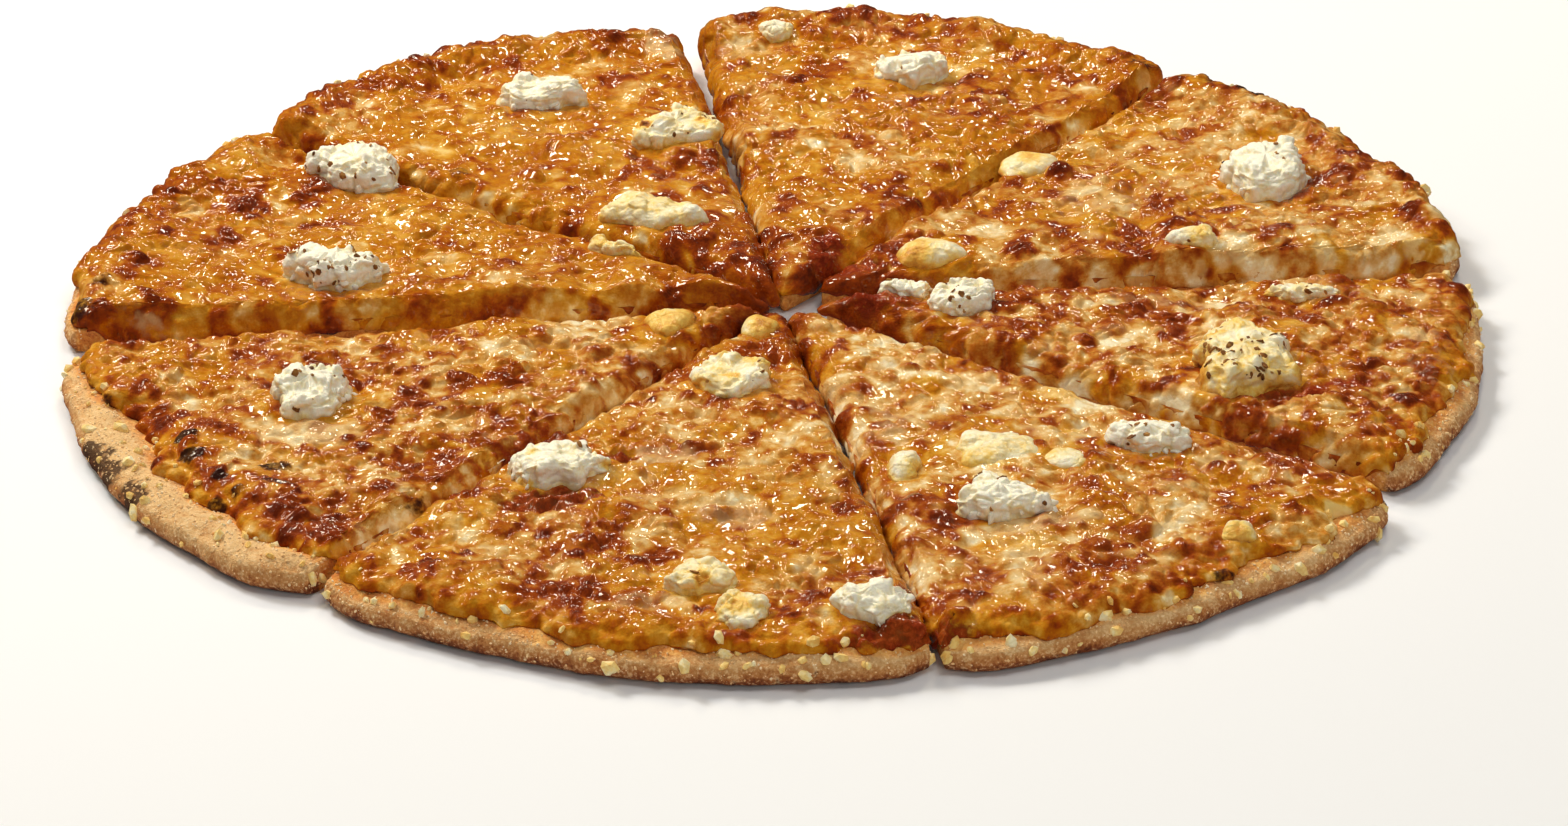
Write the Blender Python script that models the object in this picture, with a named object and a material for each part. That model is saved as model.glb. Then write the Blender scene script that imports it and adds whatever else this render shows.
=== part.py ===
"""A thin-crust cheese pizza cut into eight slices, with lumps of soft cheese on top.

Every slice has three solids that run right through it: the dough, a thin layer of tomato sauce and the
melted cheese, which hangs over the cut sides as a soft skirt. The lumps of soft cheese lie on the melted
cheese. Metres, +Z up. The origin is on the surface that the pizza rests on, under its middle.
"""

import math
from dataclasses import dataclass

import bpy
import numpy as np
from mathutils import Vector
from mathutils.bvhtree import BVHTree

MM = 0.001
GAP = 0.3 * MM  # air between two solids that touch

DOUGH_TOP = 4.2 * MM
SAUCE_THICKNESS = 0.7 * MM
CHEESE_BASE = DOUGH_TOP + SAUCE_THICKNESS + 2 * GAP
CHEESE_TOP = 8.9 * MM
CREST_COVER = 0.9  # how far the cheese's top follows the rim's crest
EDGE_HEIGHT = 2.3 * MM  # where the dough's outer edge is widest
EDGE_INSET = 1.1 * MM  # the edge's upper rounding
EDGE_FULLNESS = 0.62
UNDER_INSET = 2.6 * MM  # the edge's lower rounding

CORNER_ROUNDING = 3.0 * MM  # how far a slice's outer corner is pulled in
CORNER_LENGTH = 11.0 * MM
TIP_ROUNDING = 1.6 * MM

SIDE_POINTS = 15  # steps along each of a slice's three sides, and rows of the cheese's top
SAUCE_POINTS = 8

BROAD_SWELL, BROAD_CELL = 0.9 * MM, 15.0 * MM
SMALL_SWELL, SMALL_CELL = 0.9 * MM, 8.0 * MM
EDGE_WOBBLE, EDGE_CELL = 0.45 * MM, 9.0 * MM
RIM_WOBBLE, RIM_CELL = 1.1 * MM, 17.0 * MM
BARE_WOBBLE, BARE_CELL = 0.4, 12.0 * MM  # share by which the bare rim's width changes
RIM_THINNING, RIM_THINNING_WIDTH = 1.5 * MM, 9.0 * MM  # the cheese thins out towards the rim

LUMP_SIDES = 10
LUMP_FOOT, LUMP_CORE, LUMP_SHOULDER = 0.9, 0.45, 0.7  # shares of a lump's width at three of its rings
LUMP_REACH = 0.52  # share of half its length within which a lump clears the cheese


@dataclass(frozen=True)
class Slice:
    """One slice. Lengths are in millimetres and angles in degrees, anticlockwise seen from above."""

    name: str
    tip: tuple  # where its two cuts meet
    cuts: tuple  # where the first and the last cut reach the rim, as angles round the middle
    reach: tuple  # the rim's radius at the first cut, half way and at the last cut
    bare: tuple  # width of the bare dough rim at the first cut, half way and at the last cut
    rise: tuple  # how much thicker the cheese is along the first and the last cut
    crest: tuple  # the rim's crest: its distance from the edge, and its rise above the inner dough
    foot: float  # distance from the edge where the crest's inner slope ends
    bare_tip: float = 0.0  # length of the tip where the sauce shows without cheese


@dataclass(frozen=True)
class Lump:
    """One lump of soft cheese. Lengths are in millimetres, and turn is in degrees."""

    slice_name: str
    centre: tuple
    length: float
    width: float
    height: float
    turn: float = 0.0


SLICES = (
    Slice("1", (-1.0, 9.0), (99.3, 141.2), (147.5, 155.0, 153.5), (0.6, 0.8, 1.5), (0.3, 0.0),
          (7.0, 3.0), 17.0),
    Slice("2", (0.8, 8.6), (52.4, 96.9), (150.5, 155.5, 151.0), (0.8, 0.6, 0.8), (0.0, 0.3),
          (7.0, 3.4), 18.0, 5.0),
    Slice("3", (8.5, 11.0), (7.4, 51.0), (153.0, 155.0, 150.5), (1.5, 0.8, 0.8), (0.9, 0.0),
          (7.0, 2.8), 17.0, 6.0),
    Slice("4", (9.5, 2.0), (-31.6, 4.6), (151.5, 151.0, 152.0), (4.0, 3.5, 2.0), (0.0, -1.0),
          (5.0, 1.8), 12.0, 3.0),
    Slice("5", (3.0, -3.0), (-77.9, -35.6), (154.5, 155.0, 154.5), (3.5, 4.5, 3.5), (-0.2, 0.0),
          (5.0, 1.8), 12.0, 2.5),
    Slice("6", (0.0, -2.8), (-127.3, -78.9), (151.5, 153.0, 153.5), (3.0, 5.0, 3.5), (0.0, 0.0),
          (5.0, 1.8), 12.0),
    Slice("7", (-5.5, -2.2), (-172.9, -128.9), (153.0, 155.5, 152.5), (3.0, 13.0, 5.0), (-0.4, 0.2),
          (6.0, 2.6), 14.5),
    Slice("8", (-5.0, 4.8), (144.0, 182.4), (152.0, 154.5, 155.5), (1.0, 1.0, 2.0), (0.0, 0.6),
          (7.0, 2.2), 17.0),
)

LUMPS = (
    Lump("1", (-54.2, 105.6), 21.0, 14.0, 4.5, -8.0),
    Lump("1", (-23.0, 84.0), 20.0, 15.0, 4.0, 15.0),
    Lump("1", (-27.5, 40.5), 21.0, 12.5, 4.5, -12.0),
    Lump("2", (32.8, 117.0), 17.0, 13.0, 4.5, -20.0),
    Lump("2", (0.5, 139.0), 9.0, 6.0, 2.0),
    Lump("3", (109.8, 57.2), 20.0, 19.0, 6.0, 30.0),
    Lump("3", (56.5, 67.0), 15.0, 10.0, 3.5, 40.0),
    Lump("3", (33.5, 19.5), 16.0, 11.0, 4.0, 5.0),
    Lump("3", (91.5, 22.5), 11.0, 7.0, 3.5, 8.0),
    Lump("4", (27.5, 1.5), 12.0, 5.5, 3.0, -10.0),
    Lump("4", (39.4, -4.2), 12.5, 11.0, 4.5, 0.0),
    Lump("4", (97.5, -36.5), 26.0, 23.0, 6.0, 60.0),
    Lump("4", (112.5, -0.5), 16.0, 6.0, 1.8, -10.0),
    Lump("5", (43.4, -72.7), 19.5, 14.0, 2.2, 0.0),
    Lump("5", (58.6, -77.4), 9.5, 8.0, 2.2),
    Lump("5", (75.7, -69.8), 16.0, 11.0, 3.5, -20.0),
    Lump("5", (43.9, -96.0), 19.0, 14.0, 4.0, -30.0),
    Lump("5", (25.5, -80.0), 8.0, 11.0, 3.5),
    Lump("5", (91.0, -108.7), 9.0, 7.0, 2.5, 30.0),
    Lump("6", (-9.7, -40.5), 19.0, 15.0, 3.5, -20.0),
    Lump("6", (-44.6, -80.2), 23.0, 14.0, 4.0, 12.0),
    Lump("6", (-15.5, -124.5), 15.0, 12.0, 3.0, -30.0),
    Lump("6", (-7.0, -137.5), 12.0, 11.0, 3.0, -40.0),
    Lump("6", (18.0, -138.0), 17.0, 10.0, 4.0, -8.0),
    Lump("6", (-3.6, -14.5), 9.0, 7.0, 2.5, 40.0),
    Lump("7", (-97.5, -47.2), 18.0, 17.0, 5.0, 20.0),
    Lump("7", (-23.5, -12.5), 12.0, 13.0, 3.5, 30.0),
    Lump("8", (-95.3, 64.5), 23.0, 16.0, 5.0, -25.0),
    Lump("8", (-36.0, 23.2), 17.0, 5.0, 2.5, -32.0),
    Lump("8", (-96.1, 12.5), 22.0, 15.0, 5.0, 0.0),
)

COLOURS = {
    "dough": ((0.50, 0.29, 0.12), 0.80),
    "sauce": ((0.30, 0.03, 0.01), 0.35),
    "melted_cheese": ((0.62, 0.24, 0.05), 0.30),
    "soft_cheese": ((0.86, 0.76, 0.52), 0.45),
}


class Swell:
    """Smooth random heights between -1 and 1 over the plan, with bumps about one cell across."""

    def __init__(self, cell, seed):
        self.cell = cell
        self.count = int(0.4 / cell) + 4
        self.heights = np.random.default_rng(seed).uniform(-1.0, 1.0, (self.count, self.count))

    def at(self, x, y):
        """The height at a point of the plan, eased between the four corners of its cell."""
        u = np.asarray(x) / self.cell + self.count / 2
        v = np.asarray(y) / self.cell + self.count / 2
        i, j = np.floor(u).astype(int), np.floor(v).astype(int)
        fu, fv = u - i, v - j
        su, sv = fu * fu * (3 - 2 * fu), fv * fv * (3 - 2 * fv)
        low = self.heights[i, j] * (1 - su) + self.heights[i + 1, j] * su
        high = self.heights[i, j + 1] * (1 - su) + self.heights[i + 1, j + 1] * su
        return low * (1 - sv) + high * sv


broad_swell = Swell(BROAD_CELL, 11)
small_swell = Swell(SMALL_CELL, 12)
edge_swell = Swell(EDGE_CELL, 13)
rim_swell = Swell(RIM_CELL, 14)
bare_swell = Swell(BARE_CELL, 15)


def through(values, u):
    """The value at u between 0 and 1 of the parabola through three values at 0, 0.5 and 1."""
    first, middle, last = values
    return first * (1 - u) * (1 - 2 * u) + 4 * middle * u * (1 - u) + last * u * (2 * u - 1)


def smooth(t):
    """A soft step from 0 to 1."""
    t = np.clip(t, 0.0, 1.0)
    return t * t * (3 - 2 * t)


class Plan:
    """A slice's outline seen from above, and where a point lies in it."""

    def __init__(self, piece):
        self.piece = piece
        self.tip = np.array(piece.tip) * MM
        self.angles = [math.radians(a) for a in piece.cuts]
        ends = [self.rim_point(u, 0.0) for u in (0.0, 1.0)]
        self.along = [(end - self.tip) / np.linalg.norm(end - self.tip) for end in ends]
        first, last = self.along
        self.inward = [np.array((-first[1], first[0])), np.array((last[1], -last[0]))]

    def rim_radius(self, u):
        """The rim's uneven radius at u, from 0 at the first cut to 1 at the last one."""
        u = np.clip(u, 0.0, 1.0)
        radius = through(self.piece.reach, u) * MM
        angle = self.angles[0] + (self.angles[1] - self.angles[0]) * u
        radius = radius + RIM_WOBBLE * rim_swell.at(radius * np.cos(angle), radius * np.sin(angle))
        from_corner = np.minimum(u, 1 - u) * (self.angles[1] - self.angles[0]) * radius
        rounding = np.clip(1 - from_corner / CORNER_LENGTH, 0.0, 1.0) ** 2
        return radius - CORNER_ROUNDING * rounding

    def rim_point(self, u, inset):
        angle = self.angles[0] + (self.angles[1] - self.angles[0]) * u
        radius = self.rim_radius(u) - inset
        return np.array((radius * math.cos(angle), radius * math.sin(angle)))

    def share(self, x, y):
        """How far round a point lies from the first cut to the last one, between 0 and 1."""
        middle = (self.angles[0] + self.angles[1]) / 2
        angle = np.arctan2(y, x) - middle
        angle = (angle + math.pi) % (2 * math.pi) - math.pi + middle
        return np.clip((angle - self.angles[0]) / (self.angles[1] - self.angles[0]), 0.0, 1.0)

    def bare(self, u):
        """Width of the bare rim at u, with tongues of cheese that reach further out."""
        angle = self.angles[0] + (self.angles[1] - self.angles[0]) * u
        radius = through(self.piece.reach, u) * MM
        uneven = 1 + BARE_WOBBLE * bare_swell.at(radius * np.cos(angle), radius * np.sin(angle))
        return through(self.piece.bare, u) * MM * uneven

    def from_rim(self, x, y):
        """A point's distance from the dough's outer edge."""
        return self.rim_radius(self.share(x, y)) - np.hypot(x, y)

    def inset_tip(self, inset):
        """Where the two cuts meet once both are moved inwards."""
        (a, b), (c, d) = self.inward
        bottom = a * d - b * c
        return self.tip + inset * np.array(((d - b), (a - c))) / bottom

    def corner(self, side, inset_cut, inset_rim):
        """Where a cut that is moved inwards meets a rim that is moved inwards."""
        start, along = self.inset_tip(inset_cut), self.along[side]
        radius = self.rim_radius(float(side)) - inset_rim
        towards = start @ along
        return start + along * (math.sqrt(towards**2 - start @ start + radius**2) - towards)

    def rim_curve(self, inset_cut, inset_rim, count):
        """Points of an inset rim from the first corner to the last. inset_rim is a function of u."""
        ends = [self.corner(side, inset_cut, inset_rim(float(side))) for side in (0, 1)]
        shares = [float(self.share(*end)) for end in ends]
        points = [ends[0]]
        for k in range(1, count):
            u = shares[0] + (shares[1] - shares[0]) * k / count
            points.append(self.rim_point(u, inset_rim(u)))
        return points + [ends[1]]

    def ring(self, inset_cut, inset_rim, points, blunt=0.0):
        """An inset outline, anticlockwise from the tip, which is cut off at a length of blunt."""
        rim = self.rim_curve(inset_cut, inset_rim, points)
        tip = self.inset_tip(inset_cut)
        middle = (self.along[0] + self.along[1]) / 2
        start = tip + middle * (0.7 * blunt if blunt else TIP_ROUNDING)
        first = self.cut_side(tip, rim[0], inset_rim(0.0), points, blunt)
        last = self.cut_side(tip, rim[-1], inset_rim(1.0), points, blunt)
        return np.array([start] + first + rim + last[::-1])

    def cut_side(self, tip, end, end_inset, points, blunt):
        """Points between a ring's tip and corner, two of them where the rim's slope begins and ends."""
        length = np.linalg.norm(end - tip)
        bends = [place * MM for place in (self.piece.foot, self.piece.crest[0])]
        bends = [length - (place - end_inset) for place in bends if place > end_inset + 0.5 * MM]
        even = points - 1 - len(bends)
        span = (bends + [length])[0]
        if blunt:
            places = [blunt + (span - blunt) * k / even for k in range(even)]
        else:
            places = [span * k / (even + 1) for k in range(1, even + 1)]
        return [tip + (end - tip) * place / length for place in places + bends]


def dough_profile(piece, inside):
    """Height of the dough's top at a distance from its edge: round edge, crest, slope and flat."""
    crest_at, crest_rise = (value * MM for value in piece.crest)
    crest = DOUGH_TOP + crest_rise
    upper_edge = EDGE_HEIGHT + EDGE_FULLNESS * (crest - EDGE_HEIGHT)
    places = (0.0, EDGE_INSET, crest_at, piece.foot * MM)
    return np.interp(inside, places, (EDGE_HEIGHT, upper_edge, crest, DOUGH_TOP))


def dough_height(plan, x, y):
    return dough_profile(plan.piece, plan.from_rim(x, y))


def cheese_height(plan, x, y):
    """Height of the melted cheese's top, with its swells, thinner towards the rim."""
    u = plan.share(x, y)
    first, last = plan.piece.rise
    lean = (first * (1 - smooth(2 * u)) + last * smooth(2 * u - 1)) * MM
    inside = plan.from_rim(x, y)
    thinning = RIM_THINNING * smooth(1 - (inside - plan.bare(u)) / RIM_THINNING_WIDTH)
    under = dough_profile(plan.piece, np.maximum(inside, plan.piece.crest[0] * MM))
    crest = CREST_COVER * (under - DOUGH_TOP)
    swell = BROAD_SWELL * broad_swell.at(x, y) + SMALL_SWELL * small_swell.at(x, y)
    return CHEESE_TOP + lean + swell + crest - thinning


def raise_ring(ring, heights):
    """A flat outline as points with the given heights."""
    return np.column_stack((ring, np.broadcast_to(heights, len(ring))))


def skin(rings):
    """Quads between outlines that follow each other from the underside up over the top."""
    count = len(rings[0])
    faces = []
    for level in range(len(rings) - 1):
        low, high = level * count, (level + 1) * count
        for k in range(count):
            following = (k + 1) % count
            faces.append((low + k, low + following, high + following, high + k))
    return faces


def make_object(name, points, faces, material):
    """One closed solid as an object, with every face split into triangles."""
    mesh = bpy.data.meshes.new(name)
    mesh.from_pydata([tuple(p) for p in points], [], faces)
    mesh.materials.append(material)
    mesh.validate()
    mesh.shade_smooth()
    mesh.set_sharp_from_angle(angle=math.radians(50))
    piece = bpy.data.objects.new(name, mesh)
    bpy.context.scene.collection.objects.link(piece)
    return piece


def capped_solid(name, rings, material):
    """A solid from its outlines, closed by a flat face at the bottom and at the top."""
    count = len(rings[0])
    points = np.vstack(rings)
    faces = [tuple(range(count - 1, -1, -1))] + skin(rings)
    top = (len(rings) - 1) * count
    faces.append(tuple(range(top, top + count)))
    return make_object(name, points, faces, material)


def make_dough(plan, material):
    """The baked dough: a flat underside, a rounded outer edge and a crest that slopes down inwards."""
    crest_at, foot = plan.piece.crest[0] * MM, plan.piece.foot * MM

    def outline(inset_cut, inset_rim):
        return plan.ring(inset_cut, lambda u: inset_rim, SIDE_POINTS)

    def on_top(inset_cut, inset_rim):
        ring = outline(inset_cut, inset_rim)
        return raise_ring(ring, dough_height(plan, *ring.T))

    rings = [
        raise_ring(outline(0.5 * MM, UNDER_INSET), 0.0),
        raise_ring(outline(0.0, 0.0), EDGE_HEIGHT),
        on_top(0.0, EDGE_INSET),
        on_top(0.8 * MM, crest_at),
        raise_ring(outline(1.6 * MM, foot + 0.1 * MM), DOUGH_TOP),
    ]
    return capped_solid("crust_" + plan.piece.name, rings, material)


def make_sauce(plan, material):
    """The thin tomato layer, which runs through the slice between the dough and the cheese."""
    ring = plan.ring(0.5 * MM, lambda u: plan.piece.foot * MM + 1.0 * MM, SAUCE_POINTS)
    low = raise_ring(ring, DOUGH_TOP + GAP)
    high = raise_ring(ring, DOUGH_TOP + GAP + SAUCE_THICKNESS)
    return capped_solid("sauce_" + plan.piece.name, [low, high], material)


def cheese_rings(plan):
    """Outlines of the cheese from the middle of its underside out over the skirt to its top."""
    count, blunt = SIDE_POINTS, plan.piece.bare_tip * MM
    crest_at, foot = plan.piece.crest[0] * MM, plan.piece.foot * MM

    def outline(inset_cut, inset_rim):
        return plan.ring(inset_cut, lambda u: plan.bare(u) + inset_rim, count, blunt)

    def on_dough(ring):
        """Heights just above the dough under the outer part of the cheese."""
        inside = np.maximum(plan.from_rim(*ring.T), EDGE_INSET)
        resting = dough_profile(plan.piece, inside) + 1.5 * GAP
        return np.where(beside_cut, np.maximum(resting, CHEESE_BASE), resting)

    beside_cut = np.ones(3 * count, bool)
    beside_cut[count : 2 * count + 1] = False
    skirted = beside_cut.copy()
    if blunt:
        skirted[[0, 1, -1]] = False
    middle = plan.ring(1.0 * MM, lambda u: foot + 0.3 * MM, count, blunt)
    over_crest = plan.ring(0.3 * MM, lambda u: max(crest_at, plan.bare(u) + 1.3 * MM), count, blunt)
    lip, hem, bulge = outline(-0.35 * MM, 0.3 * MM), outline(-0.6 * MM, 0.1 * MM), outline(-0.9 * MM, 0.0)
    shoulder, crown = outline(0.7 * MM, 0.8 * MM), outline(3.4 * MM, 3.6 * MM)
    lip_height = on_dough(lip)
    drape = 0.5 + 0.5 * edge_swell.at(*hem.T)
    hem_height = np.where(skirted, (1.6 + 1.6 * drape) * MM, lip_height + 0.1 * MM)
    bulge_height = np.where(skirted, hem_height + 1.4 * MM, lip_height + 0.5 * MM)
    outward = (bulge - lip) / np.linalg.norm(bulge - lip, axis=1)[:, None]
    push = np.where(skirted, EDGE_WOBBLE * edge_swell.at(bulge[:, 1], bulge[:, 0]), 0.0)
    crown_height = cheese_height(plan, *crown.T)
    return [
        raise_ring(middle, CHEESE_BASE),
        raise_ring(over_crest, on_dough(over_crest)),
        raise_ring(lip, lip_height),
        raise_ring(hem, hem_height),
        raise_ring(bulge + outward * push[:, None], bulge_height),
        raise_ring(shoulder, bulge_height + EDGE_FULLNESS * (crown_height - bulge_height)),
        raise_ring(crown, crown_height - 0.2 * MM),
    ]


def make_cheese(plan, material):
    """The melted cheese, its top a triangle split into equal rows from the tip to the rim."""
    rings = cheese_rings(plan)
    count = SIDE_POINTS
    points = [tuple(p) for p in np.vstack(rings)]
    edge = (len(rings) - 1) * 3 * count
    crown = rings[-1][:, :2]
    tip, rim = crown[0], crown[count : 2 * count + 1]
    along_rim = np.linspace(0.0, 1.0, count + 1)
    shares = np.linalg.norm(crown[: count + 1] - tip, axis=1) / np.linalg.norm(rim[0] - tip)
    rows = [[edge]]
    for row in range(1, count + 1):
        if row == count:
            rows.append([edge + count + k for k in range(count + 1)])
            continue
        numbers = [edge + row]
        for k in range(1, row):
            target = [np.interp(k / row, along_rim, rim[:, axis]) for axis in (0, 1)]
            spot = tip + (np.array(target) - tip) * shares[row]
            points.append((spot[0], spot[1], float(cheese_height(plan, *spot))))
            numbers.append(len(points) - 1)
        numbers.append(edge + 3 * count - row)
        rows.append(numbers)
    faces = [tuple(range(3 * count - 1, -1, -1))] + skin(rings)
    for upper, lower in zip(rows, rows[1:]):
        for k in range(len(upper)):
            faces.append((upper[k], lower[k], lower[k + 1]))
        for k in range(len(upper) - 1):
            faces.append((upper[k], lower[k + 1], upper[k + 1]))
    return make_object("cheese_" + plan.piece.name, points, faces, material)


class Ground:
    """The top of one slice's melted cheese, on which the lumps are set down."""

    def __init__(self, piece):
        mesh = piece.data
        corners = [v.co.copy() for v in mesh.vertices]
        self.tree = BVHTree.FromPolygons(corners, [tuple(p.vertices) for p in mesh.polygons])

    def height(self, x, y):
        """Height of the surface at a point, or None beside the slice."""
        hit = self.tree.ray_cast(Vector((x, y, 0.05)), Vector((0, 0, -1)))[0]
        return None if hit is None else hit.z

    def clear_height(self, x, y, reach):
        """A height above the surface everywhere within reach of a point."""
        spots = [(0.0, 0.0)]
        for turn in range(12):
            angle = math.tau * turn / 12
            spots += [(part * reach * math.cos(angle), part * reach * math.sin(angle)) for part in (0.5, 1.0)]
        found = [self.height(x + dx, y + dy) for dx, dy in spots]
        found = [h for h in found if h is not None]
        return (max(found) if found else CHEESE_TOP) + GAP


def make_lump(name, lump, number, ground, material):
    """An uneven lump with a soft outline, crumbly on top, that follows the cheese under it."""
    rng = np.random.default_rng(100 + number)
    phases = rng.uniform(0, math.tau, 3)
    turn = math.radians(lump.turn)
    half = np.array((lump.length, lump.width)) * MM / 2
    centre = np.array(lump.centre) * MM
    step = math.tau / LUMP_SIDES

    def spot(k, scale, wobble=0.0):
        angle = step * k
        uneven = 1 + 0.10 * math.sin(2 * angle + phases[0]) + 0.07 * math.sin(3 * angle + phases[1])
        local = half * scale * (uneven + wobble) * np.array((math.cos(angle), math.sin(angle)))
        return centre + (
            local[0] * math.cos(turn) - local[1] * math.sin(turn),
            local[0] * math.sin(turn) + local[1] * math.cos(turn),
        )

    height = lump.height * MM
    reach = max(half) * LUMP_REACH

    def on_ground(point):
        return (*point, ground.clear_height(*point, reach))

    under_outer = [on_ground(spot(k, LUMP_FOOT)) for k in range(LUMP_SIDES)]
    under_inner = [on_ground(spot(k, LUMP_CORE)) for k in range(LUMP_SIDES)]
    base = on_ground(centre)
    mean = float(np.mean([p[2] for p in under_outer]))
    side = [
        (*spot(k, 1.0), under_outer[k][2] + height * rng.uniform(0.25, 0.4)) for k in range(LUMP_SIDES)
    ]
    upper = [
        (*spot(k, LUMP_SHOULDER, rng.uniform(-0.1, 0.1)), mean + height * rng.uniform(0.78, 1.0))
        for k in range(LUMP_SIDES)
    ]
    top = (*centre, mean + height)
    points = [base] + under_inner + under_outer + side + upper + [top]
    last, faces = len(points) - 1, []
    for k in range(LUMP_SIDES):
        following = (k + 1) % LUMP_SIDES
        faces.append((0, 1 + following, 1 + k))
        faces.append((last, last - LUMP_SIDES + k, last - LUMP_SIDES + following))
    faces += [tuple(corner + 1 for corner in face) for face in skin([under_inner, under_outer, side, upper])]
    return make_object(name, points, faces, material)


def make_material(name, colour, roughness):
    material = bpy.data.materials.new(name)
    material.use_nodes = True
    shader = material.node_tree.nodes["Principled BSDF"]
    shader.inputs["Base Color"].default_value = (*colour, 1.0)
    shader.inputs["Roughness"].default_value = roughness
    shader.inputs["Metallic"].default_value = 0.0
    return material


def clear_scene():
    for item in list(bpy.data.objects):
        bpy.data.objects.remove(item)


def main():
    clear_scene()
    materials = {name: make_material(name, *finish) for name, finish in COLOURS.items()}
    whole = bpy.data.objects.new("pizza", None)
    bpy.context.scene.collection.objects.link(whole)
    pieces, grounds = [], {}
    for piece in SLICES:
        plan = Plan(piece)
        pieces.append(make_dough(plan, materials["dough"]))
        pieces.append(make_sauce(plan, materials["sauce"]))
        pieces.append(make_cheese(plan, materials["melted_cheese"]))
        grounds[piece.name] = Ground(pieces[-1])
    for number, lump in enumerate(LUMPS, 1):
        ground = grounds[lump.slice_name]
        name = f"soft_cheese_{lump.slice_name}_{number:02d}"
        pieces.append(make_lump(name, lump, number, ground, materials["soft_cheese"]))
    for piece in pieces:
        piece.parent = whole


main()
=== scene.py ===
"""A thin-crust cheese pizza in eight slices, dressed over its solid model.

Each slice gets a fine skin of melted cheese, a sauce layer and a baked dough of the same form as its
solids, with blobs, blisters, oil and browning from seeded fields. Lumps of soft cheese, herb flecks, crumbs
and flour lie on top. Metres, +Z up, in the frame of the solid model.
"""

from __future__ import annotations

import itertools
import logging
import math
from collections.abc import Callable, Sequence
from dataclasses import dataclass, field
from enum import Enum
from functools import partial

import bpy
import numpy as np
from mathutils import Euler, Matrix, Vector


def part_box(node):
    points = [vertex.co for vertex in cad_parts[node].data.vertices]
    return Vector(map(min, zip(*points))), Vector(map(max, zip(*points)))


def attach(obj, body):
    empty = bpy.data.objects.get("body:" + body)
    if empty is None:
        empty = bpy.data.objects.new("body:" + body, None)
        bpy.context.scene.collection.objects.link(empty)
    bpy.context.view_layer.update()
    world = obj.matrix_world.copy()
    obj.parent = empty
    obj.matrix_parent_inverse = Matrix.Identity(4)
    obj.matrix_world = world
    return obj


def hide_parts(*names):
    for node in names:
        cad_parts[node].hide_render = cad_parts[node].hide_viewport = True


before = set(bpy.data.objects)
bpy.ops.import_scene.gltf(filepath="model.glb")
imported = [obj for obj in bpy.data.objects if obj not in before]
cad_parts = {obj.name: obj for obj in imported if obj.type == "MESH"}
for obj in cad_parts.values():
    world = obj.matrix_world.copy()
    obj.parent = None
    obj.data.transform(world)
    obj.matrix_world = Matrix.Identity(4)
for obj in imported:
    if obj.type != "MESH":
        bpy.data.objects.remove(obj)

log = logging.getLogger("pizza")

MM = 0.001
PLAN_WIDTH = 0.4

DOUGH_TOP = 4.2 * MM
SAUCE_LOW = 4.5 * MM
SAUCE_HIGH = 5.2 * MM
CHEESE_BASE = 5.5 * MM
CHEESE_TOP = 8.9 * MM
CREST_COVER = 0.9
EDGE_HEIGHT = 2.3 * MM
EDGE_INSET = 1.1 * MM
EDGE_FULLNESS = 0.62
CORNER_ROUNDING = 3.0 * MM
CORNER_LENGTH = 11.0 * MM
ROUND_TIP = 1.4 * MM
LUMP_FOOT = 0.9 * MM

BROAD_SWELL, BROAD_CELL = 0.9 * MM, 15.0 * MM
SMALL_SWELL, SMALL_CELL = 0.9 * MM, 8.0 * MM
EDGE_WOBBLE, EDGE_CELL = 0.45 * MM, 9.0 * MM
RIM_WOBBLE, RIM_CELL = 1.1 * MM, 17.0 * MM
BARE_WOBBLE, BARE_CELL = 0.4, 12.0 * MM
RIM_THINNING, RIM_THINNING_WIDTH = 1.5 * MM, 9.0 * MM


class Slot(Enum):
    """The material slots of the solid model."""

    DOUGH = "dough"
    SAUCE = "sauce"
    MELTED = "melted_cheese"
    SOFT = "soft_cheese"


class Mark(Enum):
    """What a patch of the melted cheese or of the dough looks like."""

    BAKED = "bake"
    PALE = "film"
    SAUCE = "sauce"
    AMBER = "amber"
    CHAR = "char"


class Look(Enum):
    """How far a lump has melted: the depth of its crumbs, how golden it is, and how far it sank in mm."""

    CRUMBLY = (1.0, 0.05, 0.5)
    SCORCHED = (0.9, 0.30, 0.6)
    CREAMY = (0.6, 0.28, 0.9)
    FLAT = (0.35, 0.26, 1.0)
    YELLOW = (0.25, 0.5, 1.3)


@dataclass(frozen=True)
class Slice:
    """One slice. Lengths are in millimetres and angles in degrees, anticlockwise seen from above."""

    name: str
    tip: tuple[float, float]  # where its two cuts meet
    cuts: tuple[float, float]  # where the first and the last cut reach the rim, as angles round the middle
    reach: tuple[float, float, float]  # the rim's radius at the first cut, half way and at the last cut
    bare: tuple[float, float, float]  # width of the bare dough rim at the same three places
    rise: tuple[float, float]  # how much thicker the cheese is along the first and the last cut
    crest: tuple[float, float]  # the rim's crest: its distance from the edge, and its rise
    foot: float  # distance from the edge where the crest's inner slope ends
    bare_tip: float  # length of the tip where the sauce shows without cheese
    bake: float  # how brown the cheese is, from 0 to 1
    amber: float  # how much of it is clear and oily, from 0 to 1
    grain: float  # how lumpy it is, from 0 to 1


@dataclass(frozen=True)
class Lump:
    """One lump of soft cheese. Lengths are in millimetres and turn in degrees."""

    slice_name: str
    centre: tuple[float, float]
    length: float
    width: float
    height: float
    turn: float
    look: Look
    flecks: float  # how many flecks of herb lie on it, from 0 to 1
    char: float = 0.0  # how much of it is scorched, from 0 to 1


@dataclass(frozen=True)
class Patch:
    """A place of its own look on the pizza. Lengths are in millimetres and turn in degrees."""

    centre: tuple[float, float]
    size: tuple[float, float]
    strength: float
    turn: float = 0.0


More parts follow.
